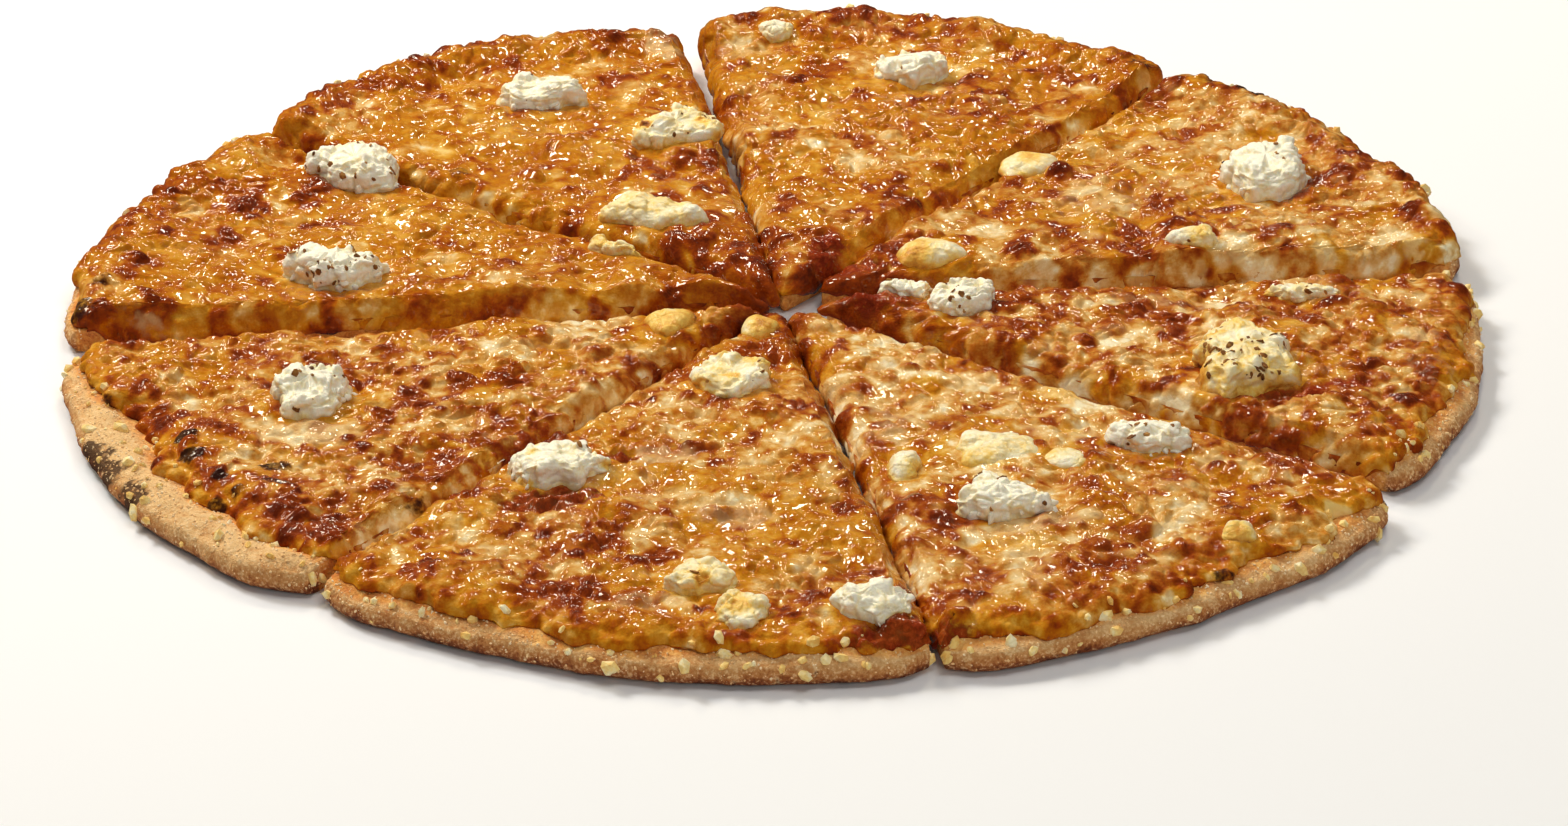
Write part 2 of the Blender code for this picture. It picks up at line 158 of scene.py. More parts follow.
# The slices, clockwise from the one at the back left
SLICES = (
    Slice("1", (-1.0, 9.0), (99.3, 141.2), (147.5, 155.0, 153.5), (0.6, 0.8, 1.5), (0.3, 0.0),
          (7.0, 3.0), 17.0, 0.0, 0.50, 0.95, 0.35),
    Slice("2", (0.8, 8.6), (52.4, 96.9), (150.5, 155.5, 151.0), (0.8, 0.6, 0.8), (0.0, 0.3),
          (7.0, 3.4), 18.0, 5.0, 0.46, 0.80, 0.45),
    Slice("3", (8.5, 11.0), (7.4, 51.0), (153.0, 155.0, 150.5), (1.5, 0.8, 0.8), (0.9, 0.0),
          (7.0, 2.8), 17.0, 6.0, 0.46, 0.20, 0.55),
    Slice("4", (9.5, 2.0), (-31.6, 4.6), (151.5, 151.0, 152.0), (4.0, 3.5, 2.0), (0.0, -1.0),
          (5.0, 1.8), 12.0, 3.0, 0.62, 0.28, 0.75),
    Slice("5", (3.0, -3.0), (-77.9, -35.6), (154.5, 155.0, 154.5), (3.5, 4.5, 3.5), (-0.2, 0.0),
          (5.0, 1.8), 12.0, 2.5, 0.56, 0.25, 0.60),
    Slice("6", (0.0, -2.8), (-127.3, -78.9), (151.5, 153.0, 153.5), (3.0, 5.0, 3.5), (0.0, 0.0),
          (5.0, 1.8), 12.0, 0.0, 0.46, 0.60, 0.65),
    Slice("7", (-5.5, -2.2), (-172.9, -128.9), (153.0, 155.5, 152.5), (3.0, 13.0, 5.0), (-0.4, 0.2),
          (6.0, 2.6), 14.5, 0.0, 0.56, 0.45, 0.80),
    Slice("8", (-5.0, 4.8), (144.0, 182.4), (152.0, 154.5, 155.5), (1.0, 1.0, 2.0), (0.0, 0.6),
          (7.0, 2.2), 17.0, 0.0, 0.47, 0.95, 0.45),
)

# The lumps of soft cheese, slice by slice
LUMPS = (
    Lump("1", (-54.2, 105.6), 21.0, 14.0, 4.5, -8.0, Look.CRUMBLY, 0.25),
    Lump("1", (-23.0, 84.0), 20.0, 15.0, 4.0, 15.0, Look.SCORCHED, 0.3, 0.5),
    Lump("1", (-27.5, 40.5), 21.0, 12.5, 4.5, -12.0, Look.CREAMY, 0.0),
    Lump("2", (32.8, 117.0), 17.0, 13.0, 4.5, -20.0, Look.CRUMBLY, 0.1),
    Lump("2", (0.5, 139.0), 9.0, 6.0, 2.0, 0.0, Look.CREAMY, 0.0),
    Lump("3", (109.8, 57.2), 20.0, 19.0, 6.0, 30.0, Look.CRUMBLY, 0.35),
    Lump("3", (56.5, 67.0), 15.0, 10.0, 3.5, 40.0, Look.YELLOW, 0.0),
    Lump("3", (33.5, 19.5), 16.0, 11.0, 4.0, 5.0, Look.YELLOW, 0.0),
    Lump("3", (91.5, 22.5), 11.0, 7.0, 3.5, 8.0, Look.CREAMY, 0.1),
    Lump("4", (27.5, 1.5), 12.0, 5.5, 3.0, -10.0, Look.CRUMBLY, 0.1),
    Lump("4", (39.4, -4.2), 12.5, 11.0, 4.5, 0.0, Look.CRUMBLY, 0.3),
    Lump("4", (97.5, -36.5), 26.0, 23.0, 6.0, 60.0, Look.SCORCHED, 1.0, 0.35),
    Lump("4", (112.5, -0.5), 16.0, 6.0, 1.8, -10.0, Look.SCORCHED, 0.5, 0.3),
    Lump("5", (43.4, -72.7), 19.5, 14.0, 2.2, 0.0, Look.FLAT, 0.0),
    Lump("5", (58.6, -77.4), 9.5, 8.0, 2.2, 0.0, Look.YELLOW, 0.0),
    Lump("5", (75.7, -69.8), 16.0, 11.0, 3.5, -20.0, Look.CRUMBLY, 0.5),
    Lump("5", (43.9, -96.0), 19.0, 14.0, 4.0, -30.0, Look.CRUMBLY, 0.55),
    Lump("5", (25.5, -80.0), 8.0, 11.0, 3.5, 0.0, Look.YELLOW, 0.0, 0.2),
    Lump("5", (91.0, -108.7), 9.0, 7.0, 2.5, 30.0, Look.YELLOW, 0.0),
    Lump("6", (-9.7, -40.5), 19.0, 15.0, 3.5, -20.0, Look.SCORCHED, 0.15, 0.35),
    Lump("6", (-44.6, -80.2), 23.0, 14.0, 4.0, 12.0, Look.CRUMBLY, 0.15, 0.45),
    Lump("6", (-15.5, -124.5), 15.0, 12.0, 3.0, -30.0, Look.SCORCHED, 0.05, 0.3),
    Lump("6", (-7.0, -137.5), 12.0, 11.0, 3.0, -40.0, Look.SCORCHED, 0.0, 0.25),
    Lump("6", (18.0, -138.0), 17.0, 10.0, 4.0, -8.0, Look.CRUMBLY, 0.0, 0.35),
    Lump("6", (-3.6, -14.5), 9.0, 7.0, 2.5, 40.0, Look.YELLOW, 0.0),
    Lump("7", (-97.5, -47.2), 18.0, 17.0, 5.0, 20.0, Look.CRUMBLY, 0.6),
    Lump("7", (-23.5, -12.5), 12.0, 13.0, 3.5, 30.0, Look.YELLOW, 0.0),
    Lump("8", (-95.3, 64.5), 23.0, 16.0, 5.0, -25.0, Look.CRUMBLY, 0.3),
    Lump("8", (-36.0, 23.2), 17.0, 5.0, 2.5, -32.0, Look.CREAMY, 0.0),
    Lump("8", (-96.1, 12.5), 22.0, 15.0, 5.0, 0.0, Look.CRUMBLY, 0.9),
)

# Places that stand out on the melted cheese, each an ellipse seen from above
PATCHES = {
    Mark.CHAR: (
        Patch((-122, -63), (3.4, 2.6), 1.0, 40), Patch((-120, -71), (3.6, 2.6), 0.95, 20),
        Patch((-113, -81), (2.6, 2.0), 0.85), Patch((-103, -76), (4.0, 2.6), 0.75),
        Patch((-114, -89), (2.8, 2.6), 0.8), Patch((-102, -85), (5.0, 2.4), 0.65),
        Patch((-109, -87), (2.6, 2.0), 0.7), Patch((-73, -91), (3.4, 2.2), 0.7, 50),
        Patch((-142, -44), (4.2, 3.0), 0.75, 60), Patch((-147, -36), (4.0, 3.0), 0.7, 70),
        Patch((87, -122), (2.6, 2.0), 0.7), Patch((89, -99), (3.0, 1.8), 0.6),
        Patch((121, -82), (4.0, 3.0), 0.6), Patch((86, 117), (4.0, 3.0), 0.6),
        Patch((101, 113), (5.0, 3.0), 0.8, -40), Patch((110, 104), (5.6, 3.0), 0.9, -45),
        Patch((-71, 65), (3.6, 2.8), 0.6), Patch((-151, -3), (4.0, 4.0), 0.75),
        Patch((-147, 8), (4.0, 4.0), 0.6),
    ),
    Mark.BAKED: (
        Patch((-112, -78), (17.0, 13.0), 0.2, -40), Patch((-72, -84), (34.0, 10.0), 0.2, 51),
        Patch((-18, -145), (5.0, 3.0), 0.35), Patch((-3, -90), (4.5, 3.6), 0.28),
        Patch((1, -107), (6.0, 4.0), 0.3), Patch((-23, -115), (5.0, 4.0), 0.25),
        Patch((3, -124), (4.5, 3.4), 0.28), Patch((-62, -118), (12.0, 7.0), 0.2),
        Patch((30, -70), (4.0, 3.0), 0.3), Patch((57, -57), (6.0, 3.6), 0.25),
        Patch((77, -86), (6.0, 4.4), 0.28), Patch((60, -93), (10.0, 6.0), 0.25),
        Patch((67, -112), (16.0, 7.0), 0.24, 25), Patch((26, -98), (5.0, 5.0), 0.25),
        Patch((33, -133), (10.0, 8.0), 0.24), Patch((78, -126), (9.0, 3.0), 0.3, 30),
        Patch((69, -18), (14.0, 6.0), 0.12), Patch((29, 54), (8.0, 8.0), 0.2),
        Patch((48, 97), (6.0, 9.0), 0.2, -30), Patch((79, 124), (9.0, 6.0), 0.24, -40),
        Patch((92, 84), (9.0, 6.0), 0.18), Patch((144, 24), (6.0, 12.0), 0.22),
        Patch((104, 27), (9.0, 4.0), 0.2), Patch((124, 57), (9.0, 6.0), 0.16),
        Patch((-82, 127), (15.0, 6.0), 0.2, 30), Patch((-104, 103), (10.0, 6.0), 0.18, 40),
        Patch((-141, 45), (7.0, 18.0), 0.2, -14), Patch((-120, -12), (10.0, 4.0), 0.2),
    ),
    Mark.PALE: (
        Patch((-98, -62), (10.0, 5.0), 0.8), Patch((-86, -99), (4.0, 2.0), 0.8),
        Patch((-24, -73), (8.0, 5.0), 0.9), Patch((-27, -133), (7.0, 4.0), 0.8),
        Patch((-9, -98), (9.0, 4.0), 0.8), Patch((-24, -91), (7.0, 4.0), 0.7),
        Patch((23, -60), (3.6, 11.0), 0.7, 12), Patch((55, -104), (12.0, 4.0), 0.6),
        Patch((54, -66), (14.0, 4.0), 0.5), Patch((87, -2), (12.0, 3.4), 0.6),
        Patch((137, -30), (6.0, 14.0), 0.4), Patch((-9, 130), (6.0, 6.0), 0.6),
        Patch((74, 46), (14.0, 8.0), 0.6, 30), Patch((-26, 134), (6.0, 8.0), 0.7),
        Patch((-136, -7), (3.6, 2.6), 0.9),
    ),
    Mark.SAUCE: (
        Patch((-55, -66), (14.0, 4.0), 0.45, 51), Patch((-86, -101), (9.0, 4.0), 0.4, 51),
        Patch((-46, -92), (11.0, 4.6), 1.0, 8), Patch((-32, -74), (4.5, 2.4), 0.9),
        Patch((24, -146), (13.0, 4.4), 1.0, 4), Patch((104, -48), (11.0, 4.0), 0.95, -4),
        Patch((119, -45), (6.0, 3.0), 0.7), Patch((22, -2), (9.0, 4.0), 0.7, -16),
        Patch((10, 23), (4.0, 9.0), 0.8, -14), Patch((17, 17), (7.0, 4.0), 0.9, 30),
    ),
    Mark.AMBER: (
        Patch((-24, -79), (6.0, 3.6), 0.9), Patch((-25, -143), (8.0, 4.0), 0.7),
        Patch((2, -145), (8.0, 3.6), 0.7), Patch((76, -77), (9.0, 4.0), 1.0),
        Patch((48, -111), (10.0, 5.0), 1.0), Patch((17, 103), (17.0, 15.0), 0.9),
        Patch((-67, 38), (30.0, 15.0), 0.8, -22), Patch((-60, 82), (22.0, 20.0), 0.8, -40),
        Patch((-38, 98), (20.0, 14.0), 0.7, -20),
    ),
}

# Burnt places on the bare rim
CRUST_CHAR = (
    Patch((-142, -62), (5.0, 3.2), 0.8, 120), Patch((-137, -71), (4.4, 2.8), 0.75, 120),
    Patch((-131.5, -80), (5.4, 3.4), 0.8, 120), Patch((122, -84), (5.0, 5.0), 0.8),
    Patch((105, 110), (9.0, 6.0), 0.5),
)


def smooth(t: np.ndarray | float) -> np.ndarray:
    """A soft step from 0 to 1."""
    t = np.clip(t, 0.0, 1.0)
    return t * t * (3 - 2 * t)


def dome(distance: np.ndarray, radius: np.ndarray | float) -> np.ndarray:
    """Height of a dome, 1 in its middle and 0 from this radius on."""
    return np.clip(1 - (distance / radius) ** 2, 0, 1)


def through(values: tuple[float, float, float], u: np.ndarray | float) -> np.ndarray:
    """The value at u between 0 and 1 of the parabola through three values at 0, 0.5 and 1."""
    first, middle, last = values
    return first * (1 - u) * (1 - 2 * u) + 4 * middle * u * (1 - u) + last * u * (2 * u - 1)


def linear(*colour: float) -> tuple[float, float, float, float]:
    """A colour given in display values from 0 to 255, as linear light with full alpha."""
    light = [c / 255 / 12.92 if c <= 10 else ((c / 255 + 0.055) / 1.055) ** 2.4 for c in colour]
    return (light[0], light[1], light[2], 1.0)


class Swell:
    """Smooth random heights between -1 and 1 over the plan, the same ones as in the solid model."""

    def __init__(self, cell: float, seed: int) -> None:
        """Set the width of a bump and the seed."""
        self.cell = cell
        self.count = int(PLAN_WIDTH / cell) + 4
        self.heights = np.random.default_rng(seed).uniform(-1.0, 1.0, (self.count, self.count))

    def at(self, x: np.ndarray | float, y: np.ndarray | float) -> np.ndarray:
        """The height at points of the plan, eased between the four corners of their cells."""
        u = np.asarray(x) / self.cell + self.count / 2
        v = np.asarray(y) / self.cell + self.count / 2
        i, j = np.floor(u).astype(int), np.floor(v).astype(int)
        su, sv = smooth(u - i), smooth(v - j)
        low = self.heights[i, j] * (1 - su) + self.heights[i + 1, j] * su
        high = self.heights[i, j + 1] * (1 - su) + self.heights[i + 1, j + 1] * su
        return low * (1 - sv) + high * sv


BROAD = Swell(BROAD_CELL, 11)
SMALL = Swell(SMALL_CELL, 12)
EDGE = Swell(EDGE_CELL, 13)
RIM = Swell(RIM_CELL, 14)
BARE = Swell(BARE_CELL, 15)


class Lattice:
    """Smooth random values between -1 and 1 in space, from a seeded block of numbers that repeats."""

    SIZE = 48

    def __init__(self, seed: int) -> None:
        """Fill the block and turn it at random, so that its rows don't line up with the pizza."""
        rng = np.random.default_rng(seed)
        self.values = rng.uniform(-1.0, 1.0, (self.SIZE,) * 3)
        self.turn = np.array(Euler(tuple(rng.uniform(0, math.tau, 3))).to_matrix())

    def at(self, points: np.ndarray, cell: float) -> np.ndarray:
        """Values at points of space.

        Args:
            points: rows of two or three coordinates.
            cell: width of a bump.

        Returns:
            One value for each point.
        """
        spots = points @ self.turn[: points.shape[1]] / cell + 0.37
        low = np.floor(spots).astype(int)
        part = smooth(spots - low)
        ends = (low % self.SIZE, (low + 1) % self.SIZE)
        weights = (1 - part, part)
        total = np.zeros(len(points))
        for corner in itertools.product((0, 1), repeat=3):
            pick = tuple(ends[side][:, axis] for axis, side in enumerate(corner))
            weight = np.prod([weights[side][:, axis] for axis, side in enumerate(corner)], axis=0)
            total += weight * self.values[pick]
        return total


class Cells:
    """Scattered blobs: one random centre in each square or cube of a grid that repeats."""

    def __init__(self, size: float, seed: int, axes: int = 2) -> None:
        """Set the spacing of the blobs, the seed, and 2 or 3 axes."""
        self.size = size
        self.axes = axes
        self.count = 256 if axes == 2 else 24
        rng = np.random.default_rng(seed)
        self.centres = rng.uniform(0.08, 0.92, (self.count,) * axes + (axes,))
        self.luck = rng.uniform(0.0, 1.0, (self.count,) * axes)

    def at(self, points: np.ndarray) -> tuple[np.ndarray, np.ndarray, np.ndarray]:
        """The blob that is nearest to each point.

        Args:
            points: rows of as many coordinates as the grid has axes.

        Returns:
            The distance to its centre and how much further the next one is, both in cells, and the
            blob's own random number from 0 to 1.
        """
        spots = points / self.size + self.count / 2
        base = np.floor(spots).astype(int)
        nearest = np.full(len(points), np.inf)
        second = nearest.copy()
        luck = np.zeros(len(points))
        for step in itertools.product((-1, 0, 1), repeat=self.axes):
            cell = base + step
            pick = tuple((cell % self.count).T)
            away = np.linalg.norm(cell + self.centres[pick] - spots, axis=1)
            closer = away < nearest
            second = np.where(closer, nearest, np.minimum(second, away))
            luck = np.where(closer, self.luck[pick], luck)
            nearest = np.where(closer, away, nearest)
        return nearest, second - nearest, luck


class Plan:
    """A slice's outline seen from above, and where a point lies in it."""

    def __init__(self, piece: Slice) -> None:
        """Work out the slice's two cuts."""
        self.piece = piece
        self.tip = np.array(piece.tip) * MM
        self.angles = [math.radians(a) for a in piece.cuts]
        ends = [self.rim_points(np.array([u]), 0.0)[0] for u in (0.0, 1.0)]
        self.along = [(end - self.tip) / np.linalg.norm(end - self.tip) for end in ends]
        first, last = self.along
        self.inward = [np.array((-first[1], first[0])), np.array((last[1], -last[0]))]

    def rim_radius(self, u: np.ndarray | float) -> np.ndarray:
        """The rim's uneven radius at u, from 0 at the first cut to 1 at the last one."""
        u = np.clip(u, 0.0, 1.0)
        radius = through(self.piece.reach, u) * MM
        angle = self.angles[0] + (self.angles[1] - self.angles[0]) * u
        radius = radius + RIM_WOBBLE * RIM.at(radius * np.cos(angle), radius * np.sin(angle))
        from_corner = np.minimum(u, 1 - u) * (self.angles[1] - self.angles[0]) * radius
        rounding = np.clip(1 - from_corner / CORNER_LENGTH, 0.0, 1.0) ** 2
        return radius - CORNER_ROUNDING * rounding

    def rim_points(self, u: np.ndarray, inset: np.ndarray | float) -> np.ndarray:
        """Points of the rim at u, moved inwards by inset."""
        angle = self.angles[0] + (self.angles[1] - self.angles[0]) * u
        radius = self.rim_radius(u) - inset
        return np.column_stack((radius * np.cos(angle), radius * np.sin(angle)))

    def share(self, x: np.ndarray, y: np.ndarray) -> np.ndarray:
        """How far round points lie from the first cut to the last one, between 0 and 1."""
        middle = (self.angles[0] + self.angles[1]) / 2
        angle = np.arctan2(y, x) - middle
        angle = (angle + math.pi) % (2 * math.pi) - math.pi + middle
        return np.clip((angle - self.angles[0]) / (self.angles[1] - self.angles[0]), 0.0, 1.0)

    def bare(self, u: np.ndarray | float) -> np.ndarray:
        """Width of the bare rim at u, with tongues of cheese that reach further out."""
        angle = self.angles[0] + (self.angles[1] - self.angles[0]) * u
        radius = through(self.piece.reach, u) * MM
        uneven = 1 + BARE_WOBBLE * BARE.at(radius * np.cos(angle), radius * np.sin(angle))
        return through(self.piece.bare, u) * MM * uneven

    def bare_at(self, x: np.ndarray, y: np.ndarray) -> np.ndarray:
        """Width of the bare rim beside points."""
        return self.bare(self.share(x, y))

    def from_rim(self, x: np.ndarray, y: np.ndarray) -> np.ndarray:
        """Distance of points from the dough's outer edge."""
        return self.rim_radius(self.share(x, y)) - np.hypot(x, y)

    def from_bare(self, x: np.ndarray, y: np.ndarray) -> np.ndarray:
        """Distance of points from the bare rim."""
        return self.from_rim(x, y) - self.bare_at(x, y)

    def from_cuts(self, points: np.ndarray) -> np.ndarray:
        """Distance of points from the nearer of the two cuts."""
        return np.minimum(*((points[:, :2] - self.tip) @ side for side in self.inward))

    def inset_tip(self, inset: float) -> np.ndarray:
        """Where the two cuts meet once both are moved inwards."""
        (a, b), (c, d) = self.inward
        bottom = a * d - b * c
        return self.tip + inset * np.array(((d - b), (a - c))) / bottom

    def corner(self, side: int, inset_cut: float, inset_rim: float) -> np.ndarray:
        """Where a cut that is moved inwards meets a rim that is moved inwards."""
        start, along = self.inset_tip(inset_cut), self.along[side]
        radius = float(self.rim_radius(float(side))) - inset_rim
        towards = start @ along
        return start + along * (math.sqrt(towards**2 - start @ start + radius**2) - towards)

    def ring(self, inset_cut: float, inset_rim: Callable | float, steps: int, blunt: float) -> np.ndarray:
        """An inset outline, anticlockwise from the tip.

        Args:
            inset_cut: how far the two cuts are moved inwards.
            inset_rim: how far the rim is moved inwards, as a number or a function of u.
            steps: points along each of the three sides.
            blunt: length that is cut off the tip.

        Returns:
            Three times as many points as steps.
        """
        inset = inset_rim if callable(inset_rim) else lambda u: inset_rim
        ends = [self.corner(side, inset_cut, float(inset(float(side)))) for side in (0, 1)]
        shares = [float(self.share(*end)) for end in ends]
        u = np.linspace(shares[0], shares[1], steps + 1)
        rim = self.rim_points(u, inset(u))
        rim[0], rim[-1] = ends
        tip = self.inset_tip(inset_cut)
        start = tip + (self.along[0] + self.along[1]) / 2 * 0.7 * blunt
        sides = []
        for end in ends:
            length = np.linalg.norm(end - tip)
            places = (blunt + (length - blunt) * np.arange(steps - 1) / (steps - 1)) / length
            sides.append(tip + (end - tip) * places[:, None])
        return np.vstack((start, sides[0], rim, sides[1][::-1]))


def dough_profile(piece: Slice, inside: np.ndarray) -> np.ndarray:
    """Height of the dough's top at a distance from its edge: round edge, crest, slope and flat."""
    crest_at, crest_rise = (value * MM for value in piece.crest)
    crest = DOUGH_TOP + crest_rise
    upper_edge = EDGE_HEIGHT + EDGE_FULLNESS * (crest - EDGE_HEIGHT)
    places = (0.0, EDGE_INSET, crest_at, piece.foot * MM)
    return np.interp(inside, places, (EDGE_HEIGHT, upper_edge, crest, DOUGH_TOP))


def cheese_height(plan: Plan, x: np.ndarray, y: np.ndarray) -> np.ndarray:
    """Height of the melted cheese's top with its swells, thinner towards the rim."""
    u = plan.share(x, y)
    first, last = plan.piece.rise
    lean = (first * (1 - smooth(2 * u)) + last * smooth(2 * u - 1)) * MM
    inside = plan.from_rim(x, y)
    thinning = RIM_THINNING * smooth(1 - (inside - plan.bare(u)) / RIM_THINNING_WIDTH)
    under = dough_profile(plan.piece, np.maximum(inside, plan.piece.crest[0] * MM))
    crest = CREST_COVER * (under - DOUGH_TOP)
    swell = BROAD_SWELL * BROAD.at(x, y) + SMALL_SWELL * SMALL.at(x, y)
    return CHEESE_TOP + lean + swell + crest - thinning


def ellipse_distance(spot: Patch | Lump, points: np.ndarray) -> np.ndarray:
    """Distance of points from a patch's or a lump's middle, 1 on its outline."""
    turn = math.radians(spot.turn)
    half = np.array(spot.size) if isinstance(spot, Patch) else np.array((spot.length, spot.width)) / 2
    away = points[:, :2] - np.array(spot.centre) * MM
    along = away @ (math.cos(turn), math.sin(turn))
    across = away @ (-math.sin(turn), math.cos(turn))
    return np.hypot(along / (half[0] * MM), across / (half[1] * MM))


def make_object(name: str, points: np.ndarray, faces: Sequence[np.ndarray],
                material: bpy.types.Material) -> bpy.types.Object:
    """One closed, smooth piece.

    Args:
        name: the object's name.
        points: rows of three coordinates.
        faces: arrays of faces, the faces in one array all with the same number of corners.
        material: its finish.

    Returns:
        The object, in the scene and at the origin.
    """
    corners = np.concatenate([group.ravel() for group in faces]).astype(np.int32)
    totals = np.concatenate([np.full(len(group), group.shape[1]) for group in faces])
    starts = np.concatenate(([0], np.cumsum(totals)[:-1])).astype(np.int32)
    mesh = bpy.data.meshes.new(name)
    mesh.vertices.add(len(points))
    mesh.vertices.foreach_set("co", points.astype(np.float32).ravel())
    mesh.loops.add(len(corners))
    mesh.loops.foreach_set("vertex_index", corners)
    mesh.polygons.add(len(totals))
    mesh.polygons.foreach_set("loop_start", starts)
    mesh.update(calc_edges=True)
    mesh.validate()
    mesh.materials.append(material)
    mesh.shade_smooth()
    piece = bpy.data.objects.new(name, mesh)
    bpy.context.scene.collection.objects.link(piece)
    return piece


def push_out(piece: bpy.types.Object, heights: np.ndarray) -> None:
    """Move every point of a piece along its normal."""
    mesh = piece.data
    count = len(mesh.vertices)
    places = np.empty(count * 3, np.float32)
    normals = np.empty(count * 3, np.float32)
    mesh.vertices.foreach_get("co", places)
    mesh.vertex_normals.foreach_get("vector", normals)
    mesh.vertices.foreach_set("co", places + normals * np.repeat(heights, 3).astype(np.float32))
    mesh.update()


def set_attribute(piece: bpy.types.Object, name: str, values: np.ndarray) -> None:
    """Give every point of a piece a number that its finish reads."""
    layer = piece.data.attributes.new(name, "FLOAT", "POINT")
    layer.data.foreach_set("value", values.astype(np.float32))


def tube(levels: int, around: int) -> list[np.ndarray]:
    """Quads that join each of a number of closed rings of points to the next one."""
    k = np.arange(around)
    following = (k + 1) % around
    quads = np.column_stack((k, following, around + following, around + k))
    return [level * around + quads for level in range(levels - 1)]


def underside(around: int) -> np.ndarray:
    """The face that closes the first ring of points, seen from below."""
    return np.arange(around - 1, -1, -1)[None, :]


def feed(tree: bpy.types.NodeTree, node: bpy.types.Node, values: dict) -> None:
    """Give a node's inputs numbers or colours, or link them to wires or output sockets."""
    for name, value in values.items():
        source = value.socket if isinstance(value, Wire) else value
        if isinstance(source, bpy.types.NodeSocket):
            tree.links.new(source, node.inputs[name])
        else:
            node.inputs[name].default_value = source


def add_node(tree: bpy.types.NodeTree, kind: str, settings: dict, values: dict) -> bpy.types.Node:
    """Add a node to a shader tree or to a geometry tree.

    Args:
        tree: the tree.
        kind: the node's type.
        settings: its own settings.
        values: numbers, colours, wires or output sockets for its inputs, by name or number.

    Returns:
        The node.
    """
    node = tree.nodes.new(kind)
    for name, value in settings.items():
        setattr(node, name, value)
    feed(tree, node, values)
    return node


def operator(operation: str, swapped: bool = False) -> Callable[[Wire, Wire | float], Wire]:
    """A method of Wire that works out one sign, with the wire on its left or, if swapped, on its right."""

    def method(self: Wire, other: Wire | float) -> Wire:
        return self.math(operation, other, self) if swapped else self.math(operation, self, other)

    return method


class Wire:
    """A value in a shader, whose operators add Math nodes."""

    def __init__(self, tree: bpy.types.NodeTree, socket: bpy.types.NodeSocket) -> None:
        """Keep the tree and the output socket."""
        self.tree = tree
        self.socket = socket

    def math(self, operation: str, *values: Wire | float) -> Wire:
        """The result of a Math node on these values."""
        node = add_node(self.tree, "ShaderNodeMath", {"operation": operation}, dict(enumerate(values)))
        return Wire(self.tree, node.outputs[0])

    __add__, __radd__ = operator("ADD"), operator("ADD", True)
    __sub__, __rsub__ = operator("SUBTRACT"), operator("SUBTRACT", True)
    __mul__, __rmul__ = operator("MULTIPLY"), operator("MULTIPLY", True)
    __truediv__ = operator("DIVIDE")

    def clamp(self) -> Wire:
        """The value kept between 0 and 1."""
        return self.math("MINIMUM", self.math("MAXIMUM", self, 0.0), 1.0)

    def step(self, low: float, high: float) -> Wire:
        """A soft step from 0 at low to 1 at high."""
        part = ((self - low) / (high - low)).clamp()
        return part * part * (3.0 - 2.0 * part)


class Finish:
    """A material under construction, with one method for each kind of node that it uses."""

    def __init__(self, name: str) -> None:
        """Start a material with a Principled shader."""
        self.material = bpy.data.materials.new(name)
        self.material.use_nodes = True
        self.tree = self.material.node_tree
        self.shader = self.tree.nodes["Principled BSDF"]

    def node(self, kind: str, settings: dict, values: dict, output: int | str = 0) -> Wire:
        """Add a node and return what one of its outputs gives."""
        return Wire(self.tree, add_node(self.tree, kind, settings, values).outputs[output])

    def coordinates(self) -> Wire:
        """The piece's own coordinates."""
        return self.node("ShaderNodeTexCoord", {}, {}, "Object")

    def attribute(self, name: str) -> Wire:
        """A number that the piece's points carry."""
        return self.node("ShaderNodeAttribute", {"attribute_name": name}, {}, "Fac")

    def noise(self, width: float, detail: float = 2.0, distortion: float = 0.0) -> Wire:
        """Noise around 0 with bumps of about this width in millimetres."""
        values = {"Vector": self.coordinates(), "Scale": 1 / (width * MM), "Detail": detail,
                  "Distortion": distortion}
        return self.node("ShaderNodeTexNoise", {}, values) - 0.5

    def cell_edges(self, width: float) -> Wire:
        """Distance to the nearest border between cells of this width in millimetres."""
        values = {"Vector": self.coordinates(), "Scale": 1 / (width * MM)}
        return self.node("ShaderNodeTexVoronoi", {"feature": "DISTANCE_TO_EDGE"}, values)

    def height_above_rest(self) -> Wire:
        """Height over the surface that the pizza rests on, in millimetres."""
        return self.node("ShaderNodeSeparateXYZ", {}, {"Vector": self.coordinates()}, "Z") * 1000.0

    def ramp(self, value: Wire, stops: Sequence[tuple]) -> Wire:
        """Colours along a value, from stops that are each a place and a colour in display values."""
        node = add_node(self.tree, "ShaderNodeValToRGB", {}, {0: value})
        elements = node.color_ramp.elements
        while len(elements) < len(stops):
            elements.new(0.5)
        for element, (place, colour) in zip(elements, stops):
            element.position = place
            element.color = linear(*colour)
        return Wire(self.tree, node.outputs[0])

    def mix(self, factor: Wire | float, low: Wire | tuple, high: Wire | tuple) -> Wire:
        """Two colours mixed."""
        return self.node("ShaderNodeMix", {"data_type": "RGBA"}, {0: factor, 6: low, 7: high}, 2)

    def bump(self, height: Wire, depth: float, strength: float) -> None:
        """Raise the surface's light and shade by a height map of this depth in millimetres."""
        values = {"Height": height, "Distance": depth * MM, "Strength": strength}
        feed(self.tree, self.shader, {"Normal": self.node("ShaderNodeBump", {}, values)})

    def surface(self, values: dict) -> bpy.types.Material:
        """Set the shader's inputs and return the finished material."""
        feed(self.tree, self.shader, values)
        return self.material


